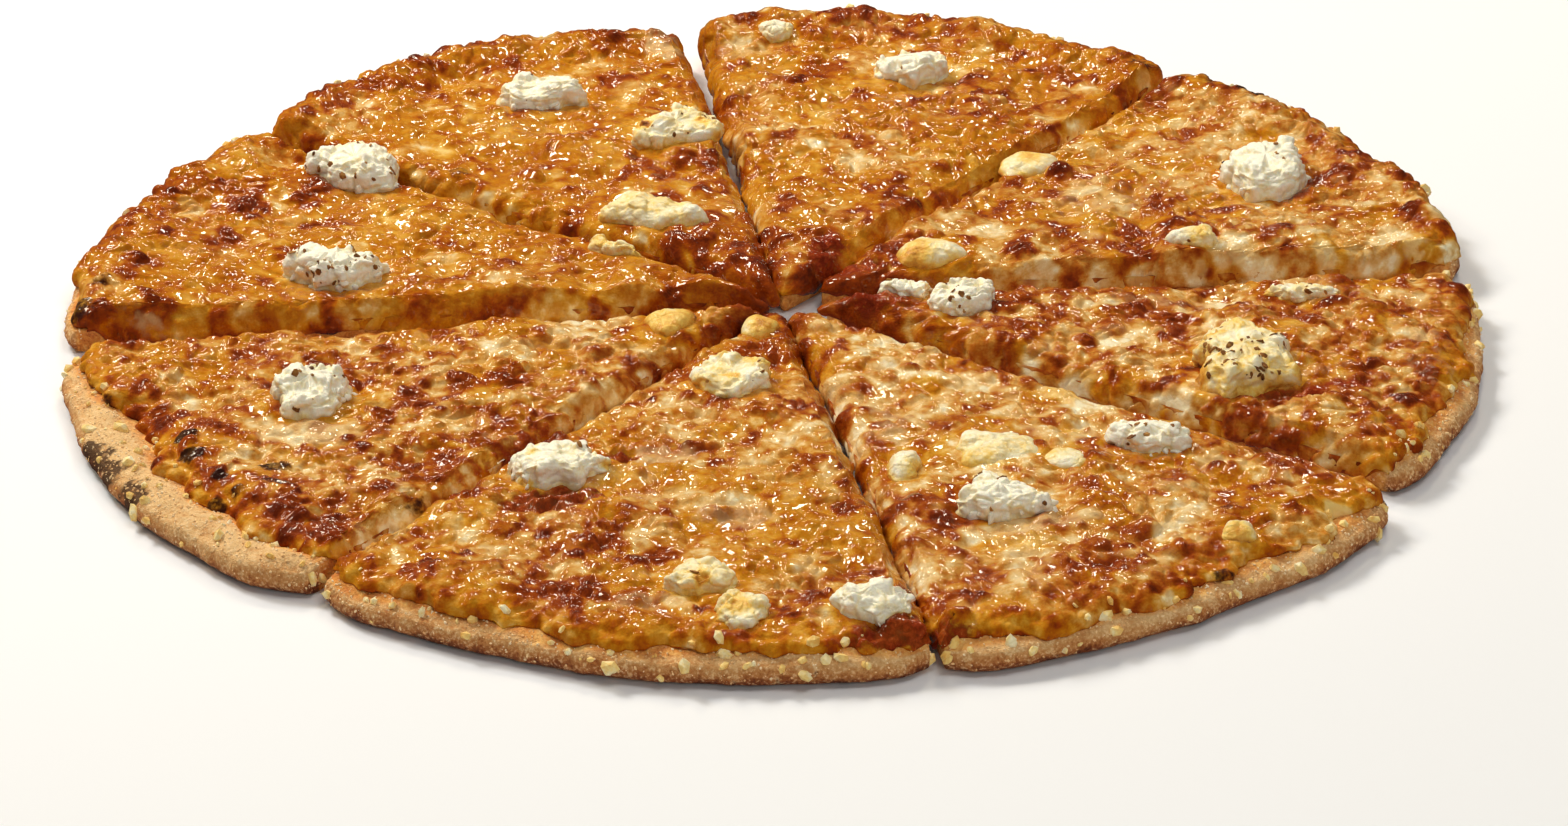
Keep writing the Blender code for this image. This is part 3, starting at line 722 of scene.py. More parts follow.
@dataclass(frozen=True)
class MeltedCheeseFinish:
    """Glossy baked cheese, from cream through golden to dark brown, with oil and films on it."""

    roughness: float = 0.12
    coat: float = 0.55
    glow: float = 0.06

    def build(self) -> bpy.types.Material:
        """Make the material."""
        made = Finish("melted_cheese")
        fine, grit = made.noise(1.7, 3.0), made.noise(0.55, 2.0)
        bake = made.attribute("bake") + 0.38 * fine + 0.2 * grit
        base = made.ramp(bake, [
            (0.04, (248, 232, 190)), (0.16, (236, 204, 146)), (0.28, (220, 172, 98)),
            (0.40, (202, 138, 58)), (0.53, (180, 100, 30)), (0.66, (154, 68, 16)),
            (0.80, (126, 46, 12)), (0.95, (78, 26, 10)),
        ])
        amber = (made.attribute("amber") + 0.6 * fine).step(0.0, 0.7)
        base = made.mix(amber * 0.9, base, made.ramp(bake, [
            (0.04, (244, 202, 108)), (0.18, (224, 162, 44)), (0.36, (202, 128, 8)), (0.52, (180, 94, 4)),
            (0.68, (148, 58, 6)), (0.88, (96, 30, 6)),
        ]))
        film = (made.attribute("film") + 1.2 * fine + 0.5 * grit).step(0.15, 1.1)
        base = made.mix(film * 0.66, base, made.ramp(bake, [
            (0.1, (246, 226, 178)), (0.45, (234, 200, 140)), (0.9, (206, 150, 88)),
        ]))
        sauce = (made.attribute("sauce") + 1.2 * fine + 0.3 * grit).step(0.25, 0.8)
        base = made.mix(sauce * 0.9, base, made.ramp(0.5 + 1.1 * fine + 0.6 * grit, [
            (0.15, (82, 16, 8)), (0.45, (124, 34, 12)), (0.65, (156, 58, 22)), (0.85, (196, 112, 56)),
        ]))
        char = (made.attribute("char") + 1.1 * fine + 0.4 * grit).step(0.3, 0.9)
        base = made.mix(char * 0.94, base, linear(44, 20, 15))
        made.bump(fine * 0.6 + grit * 0.4, 0.5, 0.8)
        oily = self.coat + 0.35 * made.attribute("amber")
        return made.surface({
            "Base Color": base,
            "Roughness": self.roughness + 0.2 * grit + 0.4 * made.attribute("dry"),
            "Specular IOR Level": 0.04,
            "Coat Weight": oily * (1.0 - 0.85 * made.attribute("dry")),
            "Coat Roughness": 0.02,
            "Subsurface Weight": self.glow,
            "Subsurface Radius": (1.0, 0.45, 0.18),
            "Subsurface Scale": 2.0 * MM,
        })


@dataclass(frozen=True)
class SoftCheeseFinish:
    """Crumbly white cheese, golden and scorched where the oven caught it, with painted shade in its creases
    and partly at its foot.
    """

    roughness: float = 0.42
    glow: float = 0.15

    def build(self) -> bpy.types.Material:
        """Make the material."""
        made = Finish("soft_cheese")
        fine, grit = made.noise(1.4, 3.0), made.noise(0.45, 2.0)
        scorch = made.attribute("scorch") + 0.45 * fine + 0.15 * grit
        base = made.ramp(scorch, [
            (0.05, (254, 246, 220)), (0.22, (248, 230, 178)), (0.42, (244, 202, 98)),
            (0.60, (222, 154, 50)), (0.78, (156, 86, 32)), (0.95, (54, 32, 20)),
        ])
        made.bump(fine + grit * 0.5, 0.4, 0.6)
        return made.surface({
            "Base Color": base,
            "Roughness": self.roughness + 0.3 * grit,
            "Coat Weight": 0.12,
            "Coat Roughness": 0.2,
            "Subsurface Weight": self.glow,
            "Subsurface Radius": (1.0, 0.7, 0.45),
            "Subsurface Scale": 2.0 * MM,
        })


@dataclass(frozen=True)
class DoughFinish:
    """Baked dough: brown and spotted at the foot, tan higher up and pale cream along the top."""

    roughness: float = 0.72

    def build(self) -> bpy.types.Material:
        """Make the material."""
        made = Finish("baked_dough")
        broad, middle, fine = made.noise(11.0, 2.0), made.noise(3.0, 3.0), made.noise(0.7, 3.0)
        height = made.height_above_rest() + 5.0 * broad + 5.0 * middle + 6.0 * fine
        base = made.ramp(height / 8.0, [
            (0.0, (104, 48, 22)), (0.20, (156, 84, 40)), (0.36, (194, 126, 68)), (0.52, (212, 154, 92)),
            (0.78, (232, 188, 128)),
        ])
        spots = (made.noise(2.8, 2.0, 0.6) * 2.6 - 0.12 * made.height_above_rest() + 0.28).step(0.25, 0.7)
        base = made.mix(spots * 0.8, base, linear(84, 38, 14))
        toast = (made.noise(4.6, 3.0, 0.4) * 1.8).step(0.05, 0.5)
        base = made.mix(toast * 0.45, base, linear(188, 120, 62))
        flour = (fine + 0.5 * middle + 0.3 * made.noise(0.35, 1.0)).step(0.04, 0.2)
        base = made.mix(flour * 0.35, base, linear(252, 218, 170))
        oil = (made.attribute("oil") + 1.4 * middle + 0.4 * fine).step(0.2, 0.9)
        base = made.mix(oil * 0.8, base, made.ramp(0.5 + 1.2 * middle + 0.5 * fine, [
            (0.2, (196, 92, 26)), (0.5, (232, 150, 62)), (0.8, (250, 196, 106)),
        ]))
        char = (made.attribute("char") + 1.1 * middle + 0.5 * fine - 0.04).step(0.32, 0.72)
        base = made.mix(char * 0.9, base, linear(60, 28, 12))
        cracks = (0.12 - made.cell_edges(6.0)).clamp() * (made.noise(9.0) + 0.3).clamp()
        made.bump(0.7 * fine + 0.9 * middle + 0.6 * made.noise(0.3, 1.0) - 6.0 * cracks, 0.6, 0.8)
        return made.surface({
            "Base Color": base,
            "Roughness": self.roughness + 0.3 * fine,
            "Specular IOR Level": 0.3,
            "Subsurface Weight": 0.05,
            "Subsurface Radius": (1.0, 0.6, 0.3),
            "Subsurface Scale": 1.5 * MM,
        })


@dataclass(frozen=True)
class SauceFinish:
    """Thick, wet tomato sauce with darker baked spots."""

    roughness: float = 0.28

    def build(self) -> bpy.types.Material:
        """Make the material."""
        made = Finish("tomato_sauce")
        middle, fine = made.noise(2.4, 3.0), made.noise(0.8, 2.0)
        base = made.ramp(middle + 0.5 * fine + 0.5, [
            (0.2, (82, 16, 8)), (0.45, (124, 34, 12)), (0.65, (156, 58, 22)), (0.85, (190, 100, 48)),
        ])
        made.bump(middle + 0.5 * fine, 0.8, 0.8)
        return made.surface({
            "Base Color": base,
            "Roughness": self.roughness + 0.3 * fine,
            "Coat Weight": 0.3,
            "Coat Roughness": 0.15,
        })


@dataclass(frozen=True)
class GrainFinish:
    """Small loose grains of one kind, with their dark, middle and light colours."""

    name: str
    colours: tuple[tuple, tuple, tuple]
    roughness: float

    def build(self) -> bpy.types.Material:
        """Make the material."""
        made = Finish(self.name)
        tint = made.noise(3.5, 2.0) * 1.6 + 0.4 * made.noise(0.6, 1.0) + 0.5
        made.bump(made.noise(0.4, 2.0), 0.3, 0.6)
        base = made.ramp(tint, list(zip((0.2, 0.5, 0.8), self.colours)))
        return made.surface({"Base Color": base, "Roughness": self.roughness})


@dataclass(frozen=True)
class FloorFinish:
    """A plain pale studio floor."""

    colour: tuple[int, int, int] = (243, 242, 240)

    def build(self) -> bpy.types.Material:
        """Make the material."""
        values = {"Base Color": linear(*self.colour), "Roughness": 0.9, "Specular IOR Level": 0.1}
        return Finish("studio_floor").surface(values)


@dataclass(frozen=True)
class Clots:
    """Rounded clots of one size that make up the melted cheese. Lengths are in millimetres."""

    cells: Cells
    bend: float  # how far their outlines are bent
    twist: float  # a second bend, across the first one
    radius: float  # of each dome, in cells
    seam: float  # width of the groove between two of them, in cells
    height: float
    least: float  # height of the lowest, as a share
    rarity: float  # power that makes tall ones rare
    even: float  # share of the height that smooth cheese has
    grainy: float  # and what grainy cheese adds
    tone: float  # how far they differ in colour


# Blobs, beads and drops
CLOTS = (
    Clots(Cells(6.2 * MM, 31), 1.9, 0.0, 0.82, 0.35, 1.05, 0.15, 1.5, 0.5, 0.5, 0.20),
    Clots(Cells(3.6 * MM, 32), 1.9, 0.5, 0.80, 0.3, 0.80, 0.1, 2.0, 0.3, 0.8, 0.26),
    Clots(Cells(2.2 * MM, 37), 0.6, 0.0, 0.75, 1e-9, 0.30, 0.2, 1.0, 0.3, 0.8, 0.20),
)
BLISTERS = Cells(8.4 * MM, 33)
PITS = Cells(4.6 * MM, 34)


@dataclass
class CheeseSheet:
    """The melted cheese of one slice, from its hem over the shoulders to its blistered top."""

    plan: Plan
    steps: int = 290
    rough: Lattice = field(default_factory=lambda: Lattice(35))
    tone: Lattice = field(default_factory=lambda: Lattice(36))

    # Hem, lip, bulge, shoulder and crown: how far each lies in from the cuts and from the edge, in mm
    INSETS = ((-0.6, 0.1), (-0.35, 0.3), (-0.9, 0.0), (0.4, 0.9), (2.3, 3.6))
    OVERLAP = 0.15 * MM
    HEM_HEIGHT, HEM_DRAPE = 1.6, 1.6
    LIP_DROP, LIP_WIDTH = 0.8 * MM, 5 * MM
    ROLL_DROP, ROLL_WIDTH = 0.6 * MM, 3 * MM
    BARE_ENOUGH = 3 * MM
    # How much of the relief each outline takes, from the underside up
    RELIEF_BY_RING = (0.0, 0.0, 0.0, 0.15, 0.3, 0.5, 0.7, 0.85)
    NEAR_RIM, AT_LIP, AT_EDGE, AT_TIP = 26 * MM, 9 * MM, 3.5 * MM, 34 * MM
    DARKEST_PLAIN = 0.78

    def lobes(self, u: np.ndarray) -> np.ndarray:
        """How far small tongues of cheese reach out over the bare rim, or stop short of its edge."""
        spots = self.plan.rim_points(np.atleast_1d(u), 0.0)
        width = np.minimum(self.plan.bare(np.atleast_1d(u)) / (4 * MM), 1.0)
        reach = (3.0 * self.rough.at(spots, 8.0 * MM) + 1.5 * self.tone.at(spots, 3.0 * MM)) * MM
        return reach * (0.25 + 0.75 * width)

    def outlines(self) -> list[np.ndarray]:
        """The sheet's main outlines, from the middle of its underside out over the hem to its top."""
        plan, piece = self.plan, self.plan.piece
        blunt = max(piece.bare_tip * MM, ROUND_TIP)
        crest_at, foot = piece.crest[0] * MM, piece.foot * MM

        def outline(inset_cut: float, inset_rim: float) -> np.ndarray:
            return plan.ring(inset_cut, lambda u: plan.bare(u) + self.lobes(u) + inset_rim,
                             self.steps, blunt)

        def on_dough(ring: np.ndarray) -> np.ndarray:
            inside = np.maximum(plan.from_rim(*ring.T), EDGE_INSET)
            resting = dough_profile(piece, inside) - self.OVERLAP
            return np.maximum(resting, CHEESE_BASE * skirt + resting * (1 - skirt))

        hem, lip, bulge, shoulder, crown = (outline(cut * MM, rim * MM) for cut, rim in self.INSETS)
        skirt = self.skirt_share(hem)
        lip_height = on_dough(lip)
        drape = 0.5 + 0.5 * EDGE.at(*hem.T)
        hem_height = (skirt * (self.HEM_HEIGHT + self.HEM_DRAPE * drape) * MM
                      + (1 - skirt) * (lip_height + 0.1 * MM))
        bulge_height = skirt * (hem_height + 1.4 * MM) + (1 - skirt) * (lip_height + 0.5 * MM)
        outward = (bulge - lip) / np.linalg.norm(bulge - lip, axis=1)[:, None]
        push = skirt * EDGE_WOBBLE * EDGE.at(bulge[:, 1], bulge[:, 0])
        top = self.top_height(crown)
        under = plan.ring(1.0 * MM, foot + 0.3 * MM, self.steps, blunt)
        over = plan.ring(0.3 * MM, lambda u: np.maximum(crest_at, plan.bare(u) + 2.2 * MM),
                         self.steps, blunt)
        return [
            np.column_stack((under, np.full(len(under), CHEESE_BASE))),
            np.column_stack((over, on_dough(over))),
            np.column_stack((lip, lip_height)),
            np.column_stack((hem, hem_height)),
            np.column_stack((bulge + outward * push[:, None], bulge_height)),
            np.column_stack((shoulder, bulge_height + EDGE_FULLNESS * (top - bulge_height))),
            np.column_stack((crown, top)),
        ]

    def skirt_share(self, ring: np.ndarray) -> np.ndarray:
        """How far the cheese hangs down at each point of an outline: 1 on the cuts, 0 along the rim."""
        count = self.steps
        to_first = np.linalg.norm(ring - ring[count], axis=1)
        to_last = np.linalg.norm(ring - ring[2 * count], axis=1)
        share = smooth(np.minimum(to_first, to_last) / (6 * MM))
        share[count : 2 * count + 1] = 0.0
        if self.plan.piece.bare_tip:
            from_tip = np.linalg.norm(ring - ring[0], axis=1)
            share *= smooth(from_tip / (9 * MM))
        return share

    def top_height(self, spots: np.ndarray) -> np.ndarray:
        """Height of the sheet's top, which rolls off towards its edges."""
        inside = self.plan.from_bare(*spots.T)
        away = np.minimum(self.plan.from_cuts(spots), inside)
        wide = smooth(self.plan.bare_at(*spots.T) / self.BARE_ENOUGH)
        lip = self.LIP_DROP * smooth(1 - inside / self.LIP_WIDTH) * wide
        roll = self.ROLL_DROP * np.exp(-np.maximum(away, 0.0) / self.ROLL_WIDTH)
        return cheese_height(self.plan, *spots.T) - roll - lip

    def skirt_rings(self) -> tuple[np.ndarray, np.ndarray]:
        """Fine outlines from the underside to the top.

        Returns:
            The rings' points, and where each point lies once the skirt is folded flat.
        """
        main = self.outlines()
        fine = [main[0], main[1], main[2]]
        for level, steps in ((2, 3), (3, 3), (4, 6), (5, 6)):
            before, start, end = main[level - 1], main[level], main[level + 1]
            after = main[min(level + 2, len(main) - 1)]
            for k in range(1, steps + 1):
                t = k / steps
                fine.append(0.5 * (2 * start + (end - before) * t
                                   + (2 * before - 5 * start + 4 * end - after) * t**2
                                   + (3 * start - before - 3 * end + after) * t**3))
        rings = np.array(fine)
        run = np.linalg.norm(np.diff(rings, axis=0), axis=2)
        from_top = np.vstack((np.cumsum(run[::-1], axis=0)[::-1], np.zeros(run.shape[1])))
        crown, bulge = main[6][:, :2], main[4][:, :2]
        outward = (bulge - crown) / np.linalg.norm(bulge - crown, axis=1)[:, None]
        return rings, crown + outward * from_top[:, :, None]

    def top_grid(self, edge: int, crown: np.ndarray) -> tuple[np.ndarray, list[np.ndarray]]:
        """The top as a triangle split into rows from the tip to the rim.

        Args:
            edge: number of the crown's first point.
            crown: the crown's points seen from above.

        Returns:
            The inner points seen from above, and the faces.
        """
        count = self.steps
        rim = crown[count : 2 * count + 1]
        along_rim = np.linspace(0.0, 1.0, count + 1)
        bow = rim - rim[0] - (rim[-1] - rim[0]) * along_rim[:, None]
        inner, rows = [], [np.array([edge])]
        total = edge + 3 * count
        for row in range(1, count):
            t = np.arange(1, row) / row
            start, end = crown[row], crown[3 * count - row]
            bend = np.column_stack([np.interp(t, along_rim, bow[:, axis]) for axis in (0, 1)])
            inner.append(start + (end - start) * t[:, None] + bend * row / count)
            middle = np.arange(total, total + row - 1)
            total += row - 1
            rows.append(np.concatenate(([edge + row], middle, [edge + 3 * count - row])))
        rows.append(np.arange(edge + count, edge + 2 * count + 1))
        faces = []
        for upper, lower in zip(rows, rows[1:]):
            faces.append(np.column_stack((upper, lower[:-1], lower[1:])))
            if len(upper) > 1:
                faces.append(np.column_stack((upper[:-1], lower[1:-1], upper[1:])))
        return np.vstack(inner), faces

    def regions(self, spots: np.ndarray) -> dict[str, np.ndarray]:
        """How close points are to the rim, to the tip, to lumps and to patches."""
        inside = self.plan.from_bare(*spots.T)
        found = {mark.value: np.zeros(len(spots)) for mark in Mark}
        ragged = 0.28 * self.tone.at(spots, 3.4 * MM) + 0.16 * self.rough.at(spots, 1.7 * MM)
        for mark, patches in PATCHES.items():
            for patch in patches:
                away = ellipse_distance(patch, spots) + ragged
                part = patch.strength * smooth((1.3 - away) / 0.75)
                found[mark.value] = np.maximum(found[mark.value], part)
        lumps = [ellipse_distance(lump, spots) for lump in LUMPS if lump.slice_name == self.plan.piece.name]
        found["near_lump"] = np.min(lumps, axis=0)
        found["near_rim"] = smooth(1 - inside / self.NEAR_RIM)
        wide = smooth(self.plan.bare_at(*spots.T) / self.BARE_ENOUGH)
        found["at_lip"] = smooth(1 - inside / self.AT_LIP) * wide
        found["at_edge"] = smooth(1 - inside / self.AT_EDGE)
        found["at_tip"] = smooth(1 - np.linalg.norm(spots - self.plan.tip, axis=1) / self.AT_TIP)
        return found

    def relief(self, spots: np.ndarray, places: dict[str, np.ndarray]) -> tuple[np.ndarray, ...]:
        """Clots, blisters and pits.

        Args:
            spots: points seen from above, with the skirt folded flat.
            places: how close they are to the rim, to lumps and to patches.

        Returns:
            Heights in millimetres, how far up a blister each point lies, and the tone of its clots.
        """
        warp = np.column_stack((self.rough.at(spots, 5.5 * MM), self.tone.at(spots, 5.5 * MM)))
        grain = self.plan.piece.grain + 0.3 * self.rough.at(spots, 22 * MM) + 0.3 * places["near_rim"]
        grain = np.clip(grain, 0.1, 1.2)
        heights, tones = np.zeros(len(spots)), np.zeros(len(spots))
        for clots in CLOTS:
            bent = spots + clots.bend * MM * warp + clots.twist * MM * warp[:, ::-1]
            near, gap, luck = clots.cells.at(bent)
            form = dome(near, clots.radius) * smooth(gap / clots.seam) - 0.3
            tall = clots.height * (clots.least + luck**clots.rarity)
            heights += tall * form * (clots.even + clots.grainy * grain)
            tones += clots.tone * (luck - 0.5) * smooth(gap / 0.4)
        blister, _, luck = BLISTERS.at(spots + 0.8 * MM * warp)
        chance = (0.34 + 0.26 * places["near_rim"] + 0.12 * self.tone.at(spots, 17 * MM)
                  + 0.9 * places["bake"])
        size = 0.19 + 0.24 * ((luck * 7.3) % 1) + 0.04 * self.rough.at(spots, 1.8 * MM)
        bubble = np.sqrt(dome(blister, size)) * (luck < chance)
        pit, _, pit_luck = PITS.at(spots)
        hole = np.exp(-((pit * 4.6 / 0.55) ** 2)) * (pit_luck > 0.72)
        heights += (0.70 * self.tone.at(spots + 0.31, 10 * MM)
                    + 0.50 * self.rough.at(spots, 3.1 * MM)
                    + 0.10 * self.rough.at(spots, 1.5 * MM) * (0.4 + grain)
                    + 0.60 * bubble * (0.4 + 0.8 * ((luck * 5.1) % 1))
                    - 0.30 * hole * places["near_rim"]
                    + places["sauce"] * (1.5 * self.rough.at(spots + 0.3, 2.1 * MM) - 0.5))
        crisp = 0.45 * self.rough.at(spots + 0.4, 1.5 * MM) + 0.5 * self.tone.at(spots, 3.0 * MM)
        heights += places["at_lip"] * (crisp - 0.5 * heights)
        heights += 0.5 * places["char"]
        return heights, bubble, tones

    def dress(self, spots: np.ndarray, fall: np.ndarray,
              streak: np.ndarray) -> tuple[np.ndarray, dict[str, np.ndarray]]:
        """The relief and the look of every point.

        Args:
            spots: points seen from above, with the skirt folded flat.
            fall: how far down the skirt each lies, from 0 on top to 1 at the hem.
            streak: a tone for each column of the skirt.

        Returns:
            Heights along the normals, and the numbers that the finish reads.
        """
        piece, places = self.plan.piece, self.regions(spots)
        heights, bubble, tones = self.relief(spots, places)
        hang = smooth(fall / 0.3)
        floor = -2.0 + 1.65 * smooth(fall / 0.35)
        heights = np.maximum(heights, floor) + 0.8 * hang * np.maximum(streak, -0.2)
        calm = 1 - 0.85 * smooth((1.15 - places["near_lump"]) / 0.3)
        broad, patchy = self.tone.at(spots, 17 * MM), self.tone.at(spots, 7 * MM)
        small, tiny = self.rough.at(spots, 2.4 * MM), self.rough.at(spots, 1.2 * MM)
        browned = (0.7 * self.tone.at(spots + 0.05, 5.8 * MM) + (0.2 + 0.35 * piece.grain) * small
                   + 0.3 * patchy + 0.3 * broad
                   + 1.3 * (piece.bake - 0.45) + 0.12 * places["near_rim"] + 1.3 * places["bake"]
                   - 0.4 * places["at_lip"] - 0.4 * places["amber"] + 0.4 * places["at_tip"]
                   + hang * (0.35 * streak + 0.8 * places["at_tip"]))
        brown = smooth((browned + 0.8 * tones - 0.02) / 0.6)
        milky = (0.7 * self.tone.at(spots + 0.11, 7.5 * MM) + 0.5 * self.rough.at(spots + 0.07, 3.4 * MM)
                 - 0.15 * piece.amber - 0.1 * places["near_rim"] - 0.35 * places["at_lip"]
                 - 0.3 * places["at_tip"] - 0.5 * places["char"]
                 + hang * (-0.04 - 0.7 * streak - 0.9 * places["at_tip"]))
        cream = smooth((milky + 0.6 * tones + 0.02) / 0.45) * (1 - 0.7 * bubble)
        bake = (0.40 + 0.07 * broad + 0.08 * patchy + 0.08 * small + 0.08 * tiny
                + 0.25 * brown * (1 - 0.4 * cream) - 0.19 * cream
                + (0.35 + 0.75 * piece.grain) * tones + bubble * (0.14 + 0.12 * brown)
                + 0.05 * places["near_rim"] + 0.08 * places["at_tip"] + 0.06 * places["char"]
                # On the hanging skirt the colour is painted paler overall to lift the shade on its upright
                # faces (painted light), and darker towards the hem at the foot of each cut (painted shade).
                + hang * (0.12 * streak - 0.06 + 0.12 * places["at_tip"])
                + 0.28 * smooth((fall - 0.7) / 0.3))
        past = bake - self.DARKEST_PLAIN
        bake = np.where(past > 0, self.DARKEST_PLAIN + 0.4 * past, bake)
        pooled = smooth(self.tone.at(spots + 0.23, 9 * MM) / 0.5 + 0.2)
        bake = bake + 0.55 * piece.amber * pooled * (0.46 - bake) * (1 - bubble)
        film = 0.5 * cream * (1 - 0.6 * piece.amber) + places["film"] * (0.75 + 0.7 * small)
        amber = piece.amber * (0.6 + 0.6 * self.rough.at(spots + 0.2, 12 * MM)) + 0.8 * places["amber"]
        amber = amber + 0.6 * smooth((1.45 - places["near_lump"]) / 0.4) * calm - 0.25 * cream
        amber = amber + 0.7 * smooth(self.tone.at(spots + 0.23, 9 * MM) / 0.5) + 0.3 * places["at_lip"]
        return heights * calm * MM, {
            "bake": np.clip(bake, 0, 1.1),
            "film": np.clip(film, 0, 1) * (1 - places["sauce"]) * (1 - places["char"]),
            "amber": np.clip(amber, 0, 1),
            "sauce": places["sauce"],
            "char": places["char"],
            "crumbs": 0.5 * places["at_edge"] * (fall < 0.5),
            "dry": np.clip(0.6 * places["at_lip"] + 0.25 * places["near_rim"] * piece.grain, 0, 1),
        }

    def build(self, material: bpy.types.Material) -> bpy.types.Object:
        """Make the slice's melted cheese."""
        rings, flat_rings = self.skirt_rings()
        levels, around = rings.shape[:2]
        edge = (levels - 1) * around
        inner, top_faces = self.top_grid(edge, rings[-1][:, :2])
        top = np.column_stack((inner, self.top_height(inner)))
        points = np.vstack((rings.reshape(-1, 3), top))
        spots = np.vstack((flat_rings.reshape(-1, 2), inner))
        faces = [underside(around)] + tube(levels, around) + top_faces
        piece = make_object("melted_cheese_" + self.plan.piece.name, points, faces, material)
        fall = np.zeros(len(points))
        fall[:edge] = np.repeat(np.clip(np.arange(levels - 1)[::-1] / (levels - 6), 0, 1), around)
        columns = self.tone.at(rings[-1][:, :2], 4.2 * MM) + 0.5 * self.rough.at(rings[-1][:, :2], 2.0 * MM)
        streak = np.concatenate((np.tile(columns, levels), np.zeros(len(inner))))
        relief, look = self.dress(spots, fall, streak)
        hold = np.ones(len(points))
        for level, part in enumerate(self.RELIEF_BY_RING):
            hold[level * around : (level + 1) * around] = part
        push_out(piece, relief * hold)
        for name, values in look.items():
            set_attribute(piece, name, values)
        return piece


@dataclass
class DoughBase:
    """The baked dough of one slice, with its rounded, floury rim."""

    plan: Plan
    steps: int = 200
    bumps: Lattice = field(default_factory=lambda: Lattice(51))

    # Height and width of the bumps in mm, and a shift that keeps them apart
    RELIEF = ((0.40, 7.0, 0.0), (0.30, 2.8, 0.3), (0.18, 1.2, 0.6))
    RAGGED = ((0.6, 2.4, 0.1), (0.3, 1.2, 0.9))
    BLUNT = 1.8 * MM

    def uneven(self, points: np.ndarray, layers: Sequence[tuple[float, float, float]]) -> np.ndarray:
        """The sum of some layers of bumps."""
        return sum(height * self.bumps.at(points + shift, width * MM) for height, width, shift in layers)

    def levels(self) -> list[tuple[float, float, float]]:
        """Outlines from the underside over the edge: inset from cuts and rim, and place in the profile.

        Returns:
            A place below 1 is a height as a share of the edge's, and from 1 on it is the top's profile.
        """
        crest, foot = self.plan.piece.crest[0], self.plan.piece.foot
        low = [(0.5, 3.4, 0.0), (0.4, 2.3, 0.06), (0.25, 1.3, 0.22), (0.1, 0.6, 0.45), (0.0, 0.18, 0.72)]
        side = [(0.0, 0.0, 1.0), (0.0, 0.06, 1.25), (0.0, 0.3, 1.55), (0.05, 0.65, 1.8), (0.1, 1.1, 2.0)]
        inner = [1.7, 2.4, 3.2, 4.0, crest, crest + 1.2, crest + 2.6, crest + 4.2]
        inner = [inset for inset in inner if inset < foot - 0.5] + [foot + 0.1]
        return low + side + [(0.8 + 0.05 * inset, inset, 3.0) for inset in inner]

    def rings(self) -> np.ndarray:
        """The points of every outline."""
        plan, piece = self.plan, self.plan.piece
        found = []
        for inset_cut, inset_rim, place in self.levels():
            ring = plan.ring(inset_cut * MM, inset_rim * MM, self.steps, self.BLUNT)
            inside = plan.from_rim(*ring.T)
            shifted = [np.maximum(inside + shift * MM, EDGE_INSET) for shift in (-0.8, 0.0, 0.8)]
            top = np.mean([dough_profile(piece, distance) for distance in shifted], axis=0)
            if place <= 1.0:
                height = np.full(len(ring), EDGE_HEIGHT * place)
            elif place < 2.5:
                height = EDGE_HEIGHT + (place - 1.0) * (top - EDGE_HEIGHT)
            else:
                height = top
            found.append(np.column_stack((ring, height)))
        return np.array(found)

    def build(self, material: bpy.types.Material) -> bpy.types.Object:
        """Make the slice's dough."""
        rings = self.rings()
        levels, around = rings.shape[:2]
        points = rings.reshape(-1, 3)
        last = (levels - 1) * around
        faces = [underside(around), np.arange(last, last + around)[None, :]] + tube(levels, around)
        piece = make_object("dough_" + self.plan.piece.name, points, faces, material)
        free = smooth(points[:, 2] / (1.6 * MM))
        free[last:] = 0.0
        inside = self.plan.from_rim(*points.T[:2])
        in_cheese = inside - self.plan.bare_at(*points.T[:2])
        covered = smooth(in_cheese / (2 * MM))
        push_out(piece, self.uneven(points, self.RELIEF) * MM * free * (1 - 0.9 * covered))
        ragged = self.uneven(points, self.RAGGED)
        char = np.zeros(len(points))
        for patch in CRUST_CHAR:
            away = ellipse_distance(patch, points) - ragged
            char = np.maximum(char, patch.strength * smooth((1.2 - away) / 0.5))
        set_attribute(piece, "char", char)
        off_edge = smooth((inside - 0.4 * MM) / (1.5 * MM))
        set_attribute(piece, "oil", smooth(1 + in_cheese / (3.5 * MM)) * off_edge)
        ripe = 0.45 + 0.55 * smooth((inside - 0.2 * MM) / (1.5 * MM))
        set_attribute(piece, "crumbs", ripe * (1 - covered) * (points[:, 2] > 1.7 * MM))
        return piece


@dataclass
class SauceLayer:
    """The tomato sauce of one slice, which shows at a bare tip."""

    plan: Plan
    steps: int = 80
    bumps: Lattice = field(default_factory=lambda: Lattice(61))
    chunk: Cells = field(default_factory=lambda: Cells(2.6 * MM, 62))

    def build(self, material: bpy.types.Material) -> bpy.types.Object:
        """Make the slice's sauce."""
        plan, foot = self.plan, self.plan.piece.foot * MM
        sheet = CheeseSheet(plan, self.steps)
        ring = plan.ring(0.4 * MM, foot + 1.0 * MM, self.steps, 2.0 * MM)
        inset = plan.ring(1.0 * MM, foot + 1.8 * MM, self.steps, 2.4 * MM)
        around = len(ring)
        inner, top_faces = sheet.top_grid(2 * around, inset)
        top_spots = np.vstack((inset, inner))
        near, _, luck = self.chunk.at(top_spots)
        lift = dome(near, 0.8) * (0.4 + luck) + 0.5 * self.bumps.at(top_spots, 1.4 * MM)
        tip = smooth(1 - np.linalg.norm(top_spots - plan.tip, axis=1) / (15 * MM))
        shows = 1.0 if plan.piece.bare_tip else 0.0
        top = SAUCE_HIGH + shows * tip * (0.7 + 0.9 * lift) * MM
        points = np.vstack((
            np.column_stack((ring, np.full(around, SAUCE_LOW))),
            np.column_stack((ring, np.full(around, SAUCE_HIGH - 0.2 * MM))),
            np.column_stack((top_spots, top)),
        ))
        faces = [underside(around)] + tube(3, around) + top_faces
        return make_object("tomato_sauce_" + plan.piece.name, points, faces, material)


